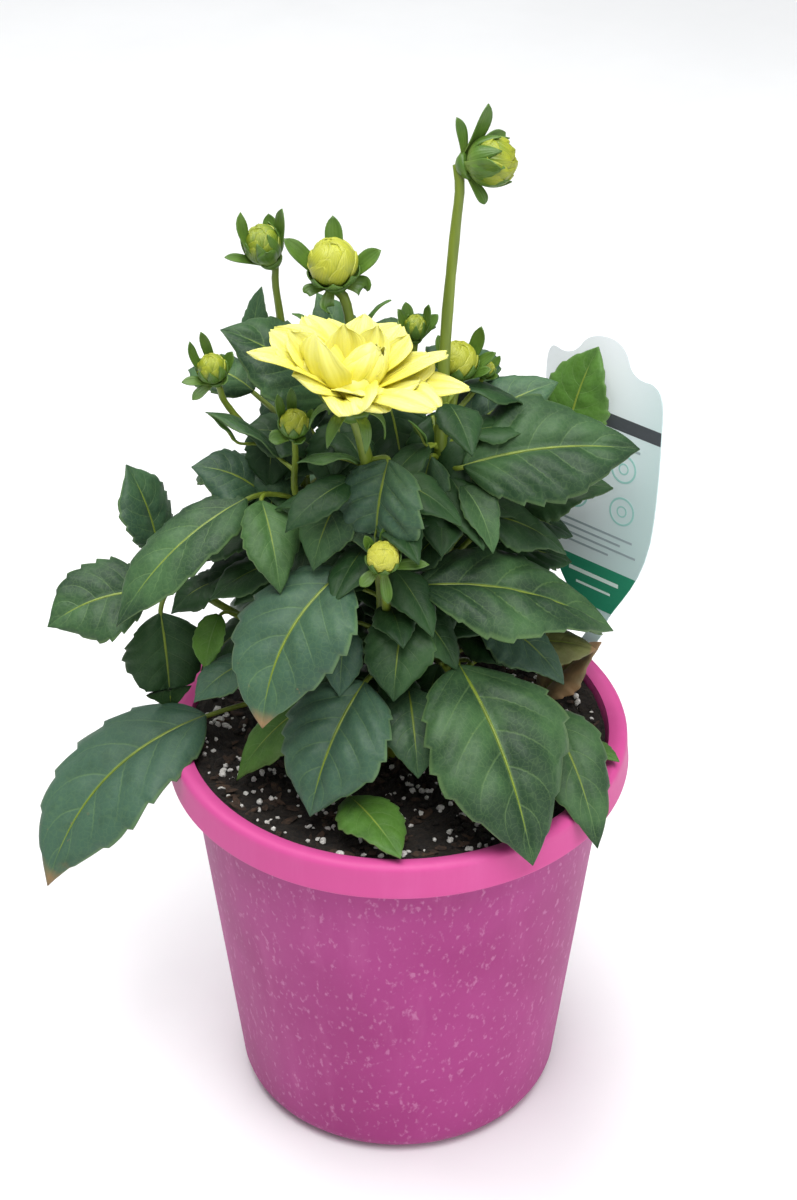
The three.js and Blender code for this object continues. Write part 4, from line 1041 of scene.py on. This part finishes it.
def leafy_stem(name, stem, bud_number):
    """A leafy stem's stalks, leaves, cups and bracts, and its buds. Gives the next bud's number."""
    builder = Builder()
    curves = {}
    for key, (points, radii) in stem["stalks"].items():
        points = list(points)
        for spec in stem["buds"]:
            if spec["on"] == key:
                points += [bud_seat(spec) - below * spec["axis"] for below in (BUD_BEND, BUD_STALK_END)]
        if stem.get("bloom_on") == key:
            points.append(BLOOM_SEAT - UP)
        curves[key] = spline(points, STALK_STEPS)
        steps = np.arange(STALK_STEPS + 1)
        widths = np.linspace(*radii, STALK_STEPS + 1) * (1 + STALK_KNOTS * np.sin(steps * 1.1) ** 3)
        builder.tube(curves[key], widths, STALK, 14, MAIN_TONE if key == "main" else SIDE_TONE)
    for spec in stem["leaves"] + inner_leaves(stem, curves["main"]):
        leaf_blade(builder, spec)
        petiole(builder, spec, curves[spec["on"]])
    for spec in stem["buds"]:
        bud_calyx(builder, spec)
        ball = bud_ball(spec).build(f"{name}_bud_{bud_number}", [BUD], SOIL_LEVEL)
        keep(ball, "bud_yellow_green", f"bud_{bud_number}")
        bud_number += 1
    if stem.get("bloom_on"):
        bloom_calyx(builder)
    keep(builder.build(f"{name}_foliage", PLANT, SOIL_LEVEL), "leaf_green", name)
    return bud_number


def keep(piece, slot, *nodes):
    """Every piece rides on the one body and stands for its CAD nodes."""
    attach(piece, "root")
    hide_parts(*nodes)


# The bloom

def seated(points):
    """Stands what is built upright about the origin on the bloom's seat, leaning as the bloom does."""
    c, s = math.cos(BLOOM_LEAN), math.sin(BLOOM_LEAN)
    turn = np.array([[c, 0, s], [0, 1, 0], [-s, 0, c]])
    return [turn @ point + BLOOM_SEAT for point in points]


BLOOM_CUP = {"top_radius": 8, "foot_radius": 2.2, "depth": 7}
BLOOM_BRACTS = 6


def bloom_calyx(builder):
    """The bloom's cup and the bracts that curl down from it."""
    start_at = len(builder.points)
    cup_shape(builder, ORIGIN, UP, **BLOOM_CUP)
    for i in range(BLOOM_BRACTS):
        angle = 2 * np.pi * (i + 0.5) / BLOOM_BRACTS
        curled(builder, round_axis(ORIGIN, UP, -1.6, 5, angle), round_axis(ORIGIN, UP, -1, 14, angle),
               round_axis(ORIGIN, UP, -13, 15, angle), 6, round_axis(ORIGIN, UP, 0.8, 1, angle), 0.2)
    builder.points[start_at:] = seated(builder.points[start_at:])


# Each petal: its tip from the middle of the seat, its width, how far its middle arches up (or, below
# 0, bellies out), how its edges lift or drop, how its tip flicks in or out, how high its foot is, the
# azimuth that its back faces (the tip's own unless given), and how square its tip is, from 0 to 1.
def petal_of(tip, width, bow, fold=0.25, flick=0.0, lift=2.0, faces=None, square=0.0):
    return {"tip": np.array(tip, dtype=float), "width": width, "bow": bow, "fold": fold, "flick": flick,
            "lift": lift, "faces": faces, "square": square}


PETALS = [
    petal_of((-39, -4, 27), 21, 4, 0.1, -0.03, faces=168),
    petal_of((-31, 12, 27), 22, 3, 0.25, -0.02, faces=145, square=0.2),
    petal_of((-18, 24, 27), 21, 3, 0.2, -0.03, square=0.3),
    petal_of((-9, 27, 24), 18, 2, 0.2, -0.02),
    petal_of((5, 30, 24), 19, 2, 0.2),
    petal_of((19, 26, 22), 20, 3, 0.2, -0.03, square=0.3),
    petal_of((36, 2, 22.5), 21, 2, 0.0, -0.02, faces=10, square=0.8),
    petal_of((45, -12, 16.5), 15, 3, 0.0, -0.06, faces=4, square=0.35),
    petal_of((33, -22, 14), 24, 5, -0.05, -0.08, square=0.6),
    petal_of((14, -22, 11), 20, 4, 0.0, -0.06, square=0.3),
    petal_of((1, -24, 13), 22, 3, 0.32, -0.14, square=0.9),
    petal_of((-22, -11, 20), 20, 3, 0.05, -0.02),
    petal_of((-14, -3, 33), 23, -6, 0.4, 0.05, 4, faces=225),
    petal_of((-24, 5, 30), 20, -1, 0.2, 0.0, 4, faces=145),
    petal_of((-3, 14, 28), 17, -2, 0.3, 0.0, 4),
    petal_of((10, 15, 27), 16, -2, 0.3, 0.0, 4),
    petal_of((22, 11, 25), 17, 0, 0.15, 0.0, 4, faces=62),
    petal_of((30, 2, 21), 22, 0, -0.05, 0.0, 4, faces=30, square=0.4),
    petal_of((26, -9, 16.5), 20, 1, -0.05, -0.02, 3, faces=350, square=0.3),
    petal_of((5, -16, 14), 22, 2, 0.05, -0.03, 4, square=0.2),
]

# The closed middle: tiers of incurved petals whose tips meet, from the outer tier in.
HEART = np.array([9.0, 3.0, 25.0])
HEART_TIERS = [
    {"count": 6, "first": 250, "apart": 4.5, "drop": 1, "width": 13, "bow": -4.5, "lift": 5},
    {"count": 5, "first": 280, "apart": 2.0, "drop": 0, "width": 10, "bow": -3.5, "lift": 6},
]
HEART_FOLD = 0.85


def heart_petals():
    """The heart's petals, tier by tier, every other one a little lower."""
    petals = []
    for tier in HEART_TIERS:
        for k in range(tier["count"]):
            azimuth = tier["first"] + 360 * k / tier["count"]
            out = level_out(math.radians(azimuth))
            tip = HEART + tier["apart"] * out - UP * (tier["drop"] + 1.5 * (k % 2))
            petals.append(petal_of(tip, tier["width"], tier["bow"], HEART_FOLD, 0.04, tier["lift"],
                                   faces=azimuth))
    return petals


# A petal's form: its width at the foot and where it is widest, as shares; how far out its foot is;
# how deeply it is channelled there; and its ribs, its wavy edges and their unevenness.
PETAL_FOOT = 0.26
PETAL_PEAK = 0.6
PETAL_START = 3.2
PETAL_CHANNEL = 0.5
PETAL_RIB = 0.06
PETAL_WAVE = 0.9
PETAL_UNEVEN = 0.035
PETAL_STATIONS = (34, 19)
PETAL_THICKNESS = 0.45


def petal_outline(share, square):
    """A petal's half width as a share of the most, which it reaches at the peak."""
    if share < PETAL_PEAK:
        return PETAL_FOOT + (1 - PETAL_FOOT) * math.sin(math.pi / 2 * share / PETAL_PEAK) ** 1.1
    rest = (share - PETAL_PEAK) / (1 - PETAL_PEAK)
    round_end = max(0.12, max(0.0, 1 - rest ** 2.1) ** 0.62)
    return round_end * (1 - square) + (1 - 0.4 * rest ** 2) * square


def petal(builder, spec, index):
    """A petal: narrow at its foot, channelled, ribbed along its length, wavy, its tip round or notched."""
    end = spec["tip"]
    if spec["faces"] is None:
        out = unit(end * [1, 1, 0])
    else:
        out = level_out(math.radians(spec["faces"]))
    level = np.cross(out, UP)
    start = PETAL_START * out + UP * (spec["lift"] + GAP)
    length = np.linalg.norm(end - start)
    chord_above = np.cross(level, unit(end - start))
    bend = (start + end) / 2 + 2 * spec["bow"] * chord_above
    own = 5.3 * index
    roll = PETAL_ROLL * math.sin(1.9 * own + 1)
    n, m = PETAL_STATIONS
    across = np.linspace(-1, 1, m)
    notch = 0.5 + 0.5 * np.cos(3 * np.pi * across + 0.5 * math.sin(own))
    teeth = -0.05 * across ** 2 * (1 - 2 * spec["square"])
    teeth -= 0.035 * (0.3 + spec["square"]) * (1 - notch)
    rows = np.empty((n, m, 3))
    normals = np.empty((n, m, 3))
    for i, share in enumerate(np.linspace(0, 1, n)):
        along = quadratic_tangent(start, bend, end, share)
        above = unit(np.cross(level, along))
        right = level * math.cos(roll) - above * math.sin(roll)
        face = above * math.cos(roll) + level * math.sin(roll)
        uneven = 1 + PETAL_UNEVEN * np.sin(17 * share + own + 2 * np.sign(across)) * share
        half = 0.5 * spec["width"] * petal_outline(share, spec["square"]) * uneven
        beyond = max(0.0, share - PETAL_PEAK) / (1 - PETAL_PEAK)
        channel = (spec["fold"] + PETAL_CHANNEL * (1 - share) ** 2) * half * across ** 2
        ribs = PETAL_RIB * half * np.cos(3 * np.pi * across) * min(1, 3 * share)
        wavy = PETAL_WAVE * np.sin(6.5 * share + own + 2.2 * np.sign(across)) * across ** 2 * share
        bent = spec["flick"] * length * beyond ** 2
        rows[i] = quadratic(start, bend, end, share) + np.outer(half * across, right)
        rows[i] += np.outer(channel + ribs + wavy + bent, face) + np.outer(teeth * length * beyond, along)
        normals[i] = face
    builder.sheet(rows, normals, PETAL_THICKNESS, 0, 0, tone=0.5 + 0.5 * math.sin(2.7 * own))


# The bloom's core, as heights and radii, and the radii up the stalk of its heart.
CORE_PROFILE = [(GAP, 5.5), (3, 8), (7, 10), (11, 9.5), (14, 7), (16, 3)]
HEART_RADII = [5.5, 5.4, 5.3, 5.2, 5, 4.6, 3.6, 2.2]


def bloom():
    """The bloom: a core, the stalk of its heart, and its petals."""
    builder = Builder()
    builder.rings(turned(ORIGIN, UP, CORE_PROFILE, 24), 0)
    builder.points = seated(builder.points)
    start_at = len(builder.points)
    shares = np.linspace(0, 1, len(HEART_RADII))
    stalk = [quadratic(UP * 4, UP * 14, HEART - UP * 0.5, share) for share in shares]
    builder.tube(np.array(stalk), HEART_RADII, 0, 12)
    for index, spec in enumerate(PETALS + heart_petals()):
        petal(builder, spec, index)
    builder.points[start_at:] = [point + BLOOM_SEAT for point in builder.points[start_at:]]
    keep(builder.build("bloom_petals", [petal_material()], SOIL_LEVEL), "petal_yellow", "bloom")


# The pot and its mix

# The wall stands in from the rim by its inset. The rim's band hangs outside it with a gap, is rounded
# at its foot, and turns inwards at the lip. The floor is closed by a flat cap in its middle.
WALL_INSET = 7.4
BAND_GAP = 2.4
ROUNDING = 0.9
LIP = 6
CAP_RADIUS = 10
POT_SIDES = 192
SHARP_CREASE = 38


def wall_radius(height):
    """The wall's outer radius at a height."""
    top = RIM_RADIUS - WALL_INSET
    return BASE_RADIUS + (top - BASE_RADIUS) * (height - BASE_CORNER) / (POT_HEIGHT - BASE_CORNER)


def level_rings(profile, sides):
    """Rings about the pot's axis, from radii and heights."""
    turn = 2 * np.pi * np.arange(sides) / sides
    return [[(r * math.cos(a), r * math.sin(a), z) for a in turn] for r, z in profile]


def arc(centre_r, centre_z, radius, start, end, steps):
    """Part of a profile: a rounded corner between two angles."""
    angles = np.radians(np.linspace(start, end, steps))
    return [(centre_r + radius * math.cos(a), centre_z + radius * math.sin(a)) for a in angles]


def cut_drain_slots(piece):
    """Cuts the drain slots through the pot's floor."""
    cutter = Builder()
    for i in range(DRAIN_SLOT["count"]):
        angle = 2 * np.pi * i / DRAIN_SLOT["count"]
        out = level_out(angle)
        side = np.cross(UP, out)
        half = DRAIN_SLOT["width"] / 2
        corners = [(DRAIN_SLOT["inner"], -half), (DRAIN_SLOT["outer"], -half),
                   (DRAIN_SLOT["outer"], half), (DRAIN_SLOT["inner"], half)]
        cutter.rings(np.array([[out * r + side * s + UP * z for r, s in corners] for z in (-5, 5)]), 0)
    tool = cutter.build("drain_cutter", [])
    cut = piece.modifiers.new("drain", "BOOLEAN")
    cut.object = tool
    cut.operation = "DIFFERENCE"
    cut.solver = "EXACT"
    depsgraph = bpy.context.evaluated_depsgraph_get()
    mesh = bpy.data.meshes.new_from_object(piece.evaluated_get(depsgraph))
    piece.modifiers.clear()
    piece.data = mesh
    bpy.data.objects.remove(tool)


def pot():
    """The pot: a tapered wall, a flat base with a rounded corner, and a rim folded over into a band."""
    foot = BASE_RADIUS - BASE_CORNER
    band_foot = POT_HEIGHT - BAND_HEIGHT
    under_band = wall_radius(band_foot)
    band_inside = RIM_RADIUS - BAND_THICKNESS
    lip_foot = POT_HEIGHT - LIP
    profile = [(CAP_RADIUS, 0)] + arc(foot, BASE_CORNER, BASE_CORNER, -90, 0, 9)
    profile += [(wall_radius(z), z) for z in np.linspace(30, band_foot - 2, 12)]
    profile += [(under_band, band_foot), (under_band + BAND_GAP, band_foot),
                (under_band + BAND_GAP + 0.2, lip_foot), (band_inside - 0.6, lip_foot),
                (band_inside, band_foot + 0.3)]
    profile += arc(RIM_RADIUS - ROUNDING, band_foot + ROUNDING, ROUNDING, -120, 10, 5)
    profile += [(RIM_RADIUS - 0.35, band_foot + 3), (RIM_RADIUS - ROUNDING, POT_HEIGHT - 5)]
    profile += arc(RIM_RADIUS - 4, POT_HEIGHT - 3, 3, 10, 90, 6)
    profile += [(RIM_RADIUS - LIP, POT_HEIGHT - 0.15), (wall_radius(POT_HEIGHT) - WALL, POT_HEIGHT - WALL)]
    profile += [(wall_radius(z) - WALL, z) for z in (lip_foot, 90, BASE_CORNER)]
    profile += [(foot, FLOOR_THICKNESS), (CAP_RADIUS, FLOOR_THICKNESS)]
    builder = Builder()
    builder.rings(np.array(level_rings(profile, POT_SIDES)), 0)
    piece = builder.build("pot_shell", [pot_material()])
    cut_drain_slots(piece)
    piece.data.set_sharp_from_angle(angle=math.radians(SHARP_CREASE))
    keep(piece, "pot_plastic", "pot")


# The mix's surface: how high it is banked up against the wall, and its roughness and grain.
MIX_SEED = 7
MIX_BANK = 3.5
CRUMB_TILT = 0.5
CRUMB_ROUGHNESS = 0.22
MIX_SIDES = 200
MIX_RINGS = 60
MIX_ROUGHNESS = 0.55
MIX_GRAIN = 0.35

# The crumbs of soil, bark and perlite: how many, the least and greatest radius, how they are stretched
# or pressed, their material's slot, and how far they stand out of the mix.
CRUMBS = [
    {"count": 620, "sizes": (1.2, 2.6), "stretch": (1, 0.8, 0.6), "slot": 0, "raised": 0.2},
    {"count": 420, "sizes": (1.4, 3.4), "stretch": (1.3, 0.5, 0.3), "slot": 1, "raised": 0.4},
    {"count": 640, "sizes": (0.6, 1.6), "stretch": (1, 0.9, 0.8), "slot": 2, "raised": 0.5},
]


def lump(x, y):
    """The mix's height at a place: uneven, and banked up a little against the pot's wall."""
    edge = MIX_BANK * np.clip((np.hypot(x, y) / RIM_RADIUS - 0.62) / 0.28, 0, 1) ** 2
    broad = 1.1 * np.sin(0.06 * x + 1) * np.cos(0.07 * y - 0.5)
    return edge + broad + 0.8 * np.sin(0.23 * x + 0.4) * np.sin(0.27 * y + 1.1)


def crumb(ball, dice, x, y, size, stretch, raised):
    """The corners of one lump of the mix: a ball pressed and knocked out of round."""
    turn = dice.uniform(0, 2 * math.pi)
    tilt = dice.uniform(-CRUMB_TILT, CRUMB_TILT)
    c, s = math.cos(turn), math.sin(turn)
    foot = lump(x, y)
    lift = size * stretch[2] * raised
    points = []
    for corner in ball:
        rough = 1 + dice.uniform(-CRUMB_ROUGHNESS, CRUMB_ROUGHNESS)
        a, b, z = (corner[k] * size * stretch[k] * rough for k in range(3))
        z += tilt * a
        points.append(np.array([x + c * a - s * b, y + s * a + c * b, foot + z + lift]))
    return points


def ball_shape():
    """The corners and faces of a coarse round ball: a form of 20 triangles, each cut into 4."""
    golden = (1 + 5 ** 0.5) / 2
    corners = [(-1, golden, 0), (1, golden, 0), (-1, -golden, 0), (1, -golden, 0),
               (0, -1, golden), (0, 1, golden), (0, -1, -golden), (0, 1, -golden),
               (golden, 0, -1), (golden, 0, 1), (-golden, 0, -1), (-golden, 0, 1)]
    points = [unit(np.array(corner)) for corner in corners]
    faces = [(0, 11, 5), (0, 5, 1), (0, 1, 7), (0, 7, 10), (0, 10, 11),
             (1, 5, 9), (5, 11, 4), (11, 10, 2), (10, 7, 6), (7, 1, 8),
             (3, 9, 4), (3, 4, 2), (3, 2, 6), (3, 6, 8), (3, 8, 9),
             (4, 9, 5), (2, 4, 11), (6, 2, 10), (8, 6, 7), (9, 8, 1)]
    middles = {}
    fine = []

    def middle(a, b):
        key = (min(a, b), max(a, b))
        if key not in middles:
            middles[key] = len(points)
            points.append(unit(points[a] + points[b]))
        return middles[key]

    for a, b, c in faces:
        ab, bc, ca = middle(a, b), middle(b, c), middle(c, a)
        fine += [(a, ab, ca), (b, bc, ab), (c, ca, bc), (ab, bc, ca)]
    return points, fine


def potting_mix():
    """The mix: a lumpy dark surface strewn with bark and white perlite."""
    ball, ball_faces = ball_shape()
    dice = random.Random(MIX_SEED)
    inner = wall_radius(SOIL_LEVEL - 3) - WALL - GAP
    builder = Builder()
    turn = 2 * np.pi * np.arange(MIX_SIDES) / MIX_SIDES
    foot = (BASE_RADIUS - BASE_CORNER - 1, FLOOR_THICKNESS + GAP - SOIL_LEVEL)
    corner = (wall_radius(BASE_CORNER) - WALL - GAP - 0.5, BASE_CORNER + 2 - SOIL_LEVEL)
    rings = level_rings((foot, corner), MIX_SIDES)
    for share in np.linspace(1, 0.02, MIX_RINGS):
        ring = []
        for a in turn:
            x, y = inner * share * math.cos(a), inner * share * math.sin(a)
            one = math.sin(1.3 * x + 2 * math.sin(0.9 * y))
            other = math.sin(1.1 * y + 1.7 * math.sin(0.7 * x))
            grain = dice.uniform(-MIX_GRAIN, MIX_GRAIN)
            ring.append((x, y, lump(x, y) + MIX_ROUGHNESS * one * other + grain))
        rings.append(ring)
    builder.rings(np.array(rings), 0)

    def scatter(count, sizes, stretch, slot, raised):
        for _ in range(count):
            r = (inner - 3) * math.sqrt(dice.random())
            a = dice.uniform(0, 2 * math.pi)
            shape = [s * dice.uniform(0.75, 1.25) for s in stretch]
            size = dice.uniform(*sizes)
            points = crumb(ball, dice, r * math.cos(a), r * math.sin(a), size, shape, raised)
            builder.add(points, ball_faces, slot)

    for kind in CRUMBS:
        scatter(**kind)
    materials = [
        crumb_material("mix_dark", linear(14, 11, 8), linear(40, 32, 24), 0.95, 500),
        crumb_material("mix_bark", linear(30, 21, 14), linear(72, 52, 36), 0.85, 380),
        crumb_material("perlite", linear(196, 192, 184), linear(244, 242, 236), 0.85, 900),
    ]
    keep(builder.build("mix_surface", materials, SOIL_LEVEL, True), "potting_mix", "potting_mix")


# The plant tag

def tag_place(x, y, z):
    """A point drawn in the tag's own plane (x across, z up, y through it) where the tag stands."""
    for angle, (a, b) in ((math.radians(TAG["turn"]), "zx"), (math.radians(-TAG["lean"]), "yz"),
                          (math.radians(-TAG["azimuth"]), "xy")):
        at = {"x": x, "y": y, "z": z}
        c, s = math.cos(angle), math.sin(angle)
        at[a], at[b] = c * at[a] - s * at[b], s * at[a] + c * at[b]
        x, y, z = at["x"], at["y"], at["z"]
    return np.array([x + TAG["neck"][0], y + TAG["neck"][1], z + TAG["neck"][2]])


def tag_outline():
    """Points round the tag, from the tip of its spike, anticlockwise."""
    w, h, spike, half = TAG["half_width"], TAG["height"], TAG["spike"], TAG["spike_half"]
    slide = spike * math.tan(math.radians(TAG["turn"] + TAG["spike_slant"]))
    shoulder = slide * (spike - 14) / spike
    points = [(slide, -spike), (half + shoulder, 14 - spike)]

    def to(*controls):
        ends = [np.array(p, dtype=float) for p in (points[-1], *controls)]
        for share in np.linspace(0, 1, 9)[1:]:
            made = quadratic(*ends, share) if len(ends) == 3 else cubic(*ends, share)
            points.append(tuple(made))

    to((4 + slide * 8 / spike, -8), (4, 0))
    to((6, 14), (22, 22), (0.9 * w, 0.36 * h))
    to((w, 0.5 * h), (w, 0.78 * h))
    to((w, 0.87 * h), (0.78 * w, 0.88 * h))
    to((0.46 * w, 0.88 * h), (0.4 * w, 0.94 * h))
    to((0.3 * w, h), (0, h))
    to((-0.3 * w, h), (-0.42 * w, 0.955 * h))
    to((-0.6 * w, 0.91 * h), (-0.82 * w, 0.935 * h))
    to((-w, 0.95 * h), (-w, 0.85 * h))
    points.append((-w, 0.5 * h))
    to((-w, 0.42 * h), (-0.9 * w, 0.36 * h))
    to((-22, 22), (-6, 14), (-4, 0))
    to((slide * 8 / spike - 4, -8), (shoulder - half, 14 - spike))
    return points


def sloped(outline):
    """An outline in the tag's plane as the printing slopes across it."""
    return [(x, z - INK_SLOPE * x) for x, z in outline]


def flat_form(builder, outline, front, back, slot):
    """A closed plate with the outline given in the tag's plane."""
    n = len(outline)
    points = [tag_place(x, y, z) for y in (front, back) for x, z in outline]
    maps = [(z / TAG["height"], x / TAG["half_width"]) for _ in range(2) for x, z in outline]
    faces = [tuple(range(n)), tuple(range(2 * n - 1, n - 1, -1))]
    faces += [(k, n + k, n + (k + 1) % n, (k + 1) % n) for k in range(n)]
    builder.add(points, faces, slot, maps)


def clipped(outline, low, high):
    """The part of an outline between two lines that slope as the printing does."""
    def cut(points, keep_above, level):
        kept = []
        points = [(x, z + INK_SLOPE * x) for x, z in points]
        for k, (x, z) in enumerate(points):
            px, pz = points[k - 1]
            inside, before = (z >= level, pz >= level) if keep_above else (z <= level, pz <= level)
            if inside != before:
                share = (level - pz) / (z - pz)
                kept.append((px + share * (x - px), level))
            if inside:
                kept.append((x, z))
        return sloped(kept)
    return cut(cut(outline, True, low), False, high)


def ring(builder, x, z, radius, width, depths, slot):
    """A flat ring in the tag's plane."""
    sides = 36
    front, back = depths
    turn = 2 * np.pi * np.arange(sides) / sides
    points = []
    for r, y in ((radius, front), (radius, back), (radius - width, back), (radius - width, front)):
        points += [tag_place(x + r * math.cos(a), y, z + r * math.sin(a)) for a in turn]
    faces = []
    for level in range(4):
        for j in range(sides):
            k = (j + 1) % sides
            a, b = level * sides, (level + 1) % 4 * sides
            faces.append((a + k, a + j, b + j, b + k))
    builder.add(points, faces, slot)


def plant_tag():
    """The tag: a thin plate, with sloping bands, rings and bars of flat ink that carry no lettering."""
    builder = Builder()
    thick = TAG["thickness"] / 2
    outline = tag_outline()
    flat_form(builder, outline, -thick, thick, 0)
    ink = (-thick - INK_THICKNESS, -thick + 0.02)
    flat_form(builder, clipped(outline, *DARK_BAND), *ink, 1)
    flat_form(builder, clipped(outline, *GREEN_BAND), *ink, 2)
    for x, z in RINGS:
        ring(builder, x, z - INK_SLOPE * x, 6.4, 0.9, ink, 3)
        ring(builder, x, z - INK_SLOPE * x, 2.6, 0.7, ink, 3)
    for x, z, length, height in BARS:
        on_band = z < GREEN_BAND[1]
        lift = INK_LIFT if on_band else 0
        box = [(x, z), (x + length, z), (x + length, z + height), (x, z + height)]
        flat_form(builder, sloped(box), ink[0] - lift, ink[1] - lift, 4 if on_band else 5)
    materials = [
        tag_material(),
        ink_material("ink_dark", (70, 74, 78)),
        ink_material("ink_green", (38, 132, 100)),
        ink_material("ink_teal", (150, 200, 192)),
        ink_material("ink_white", (214, 232, 224)),
        ink_material("ink_grey", (150, 166, 170)),
    ]
    keep(builder.build("tag_plate", materials, SOIL_LEVEL, True), "tag_plastic", "plant_tag")


# Studio

DAYLIGHT = (0.93, 0.96, 1.0, 1)
DAYLIGHT_STRENGTH = 0.36
FLOOR_HALF = 4
FLOOR_TONES = ((0.86, 0.86, 0.86, 1), (0.9, 0.9, 0.9, 1))
LIGHTS = [
    {"name": "key_light", "place": (0.1, -0.6, 1.8), "size": 1.2, "power": 27},
    {"name": "top_light", "place": (-0.4, 0.5, 1.8), "size": 1.6, "power": 28},
    {"name": "fill_light", "place": (1.4, -1.2, 0.8), "size": 1.5, "power": 10},
]
LIT_POINT = Vector((0, 0, 0.25))
CAMERA = {"place": (0, -0.9, 0.868), "down": 34.345, "sensor": 36, "lens": 78.06}


def studio():
    """The daylight, the pale floor and the lights."""
    scene = bpy.context.scene
    scene.view_settings.view_transform = "Standard"
    world = bpy.data.worlds.new("studio")
    scene.world = world
    world.use_nodes = True
    backdrop = world.node_tree.nodes["Background"]
    backdrop.inputs["Color"].default_value = DAYLIGHT
    backdrop.inputs["Strength"].default_value = DAYLIGHT_STRENGTH

    corners = [(FLOOR_HALF * x, FLOOR_HALF * y, 0) for x, y in ((-1, -1), (1, -1), (1, 1), (-1, 1))]
    floor_mesh = bpy.data.meshes.new("floor")
    floor_mesh.from_pydata(corners, [], [(0, 1, 2, 3)])
    floor = bpy.data.objects.new("floor", floor_mesh)
    floor_mesh.materials.append(crumb_material("floor_pale", *FLOOR_TONES, 0.9, 3))
    scene.collection.objects.link(floor)

    for light in LIGHTS:
        soft_light(**light)


def soft_light(name, place, size, power):
    """A round, soft light that is aimed at the plant."""
    lamp = bpy.data.lights.new(name, "AREA")
    lamp.energy = power
    lamp.shape = "DISK"
    lamp.size = size
    made = bpy.data.objects.new(name, lamp)
    made.location = place
    made.rotation_euler = (LIT_POINT - Vector(place)).to_track_quat("-Z", "Y").to_euler()
    bpy.context.scene.collection.objects.link(made)


def camera():
    """The camera where the photograph was taken from: above the plant and looking down at it."""
    lens = bpy.data.cameras.new("camera")
    lens.sensor_fit = "VERTICAL"
    lens.sensor_height = CAMERA["sensor"]
    lens.lens = CAMERA["lens"]
    made = bpy.data.objects.new("camera", lens)
    made.location = CAMERA["place"]
    made.rotation_euler = (math.radians(90 - CAMERA["down"]), 0, 0)
    bpy.context.scene.collection.objects.link(made)
    bpy.context.scene.camera = made


studio()
camera()
pot()
potting_mix()
plant_tag()
bloom()
next_bud = 1
for stem_name, stem_spec in LEAFY_STEMS.items():
    next_bud = leafy_stem(stem_name, stem_spec, next_bud)

bpy.context.view_layer.update()
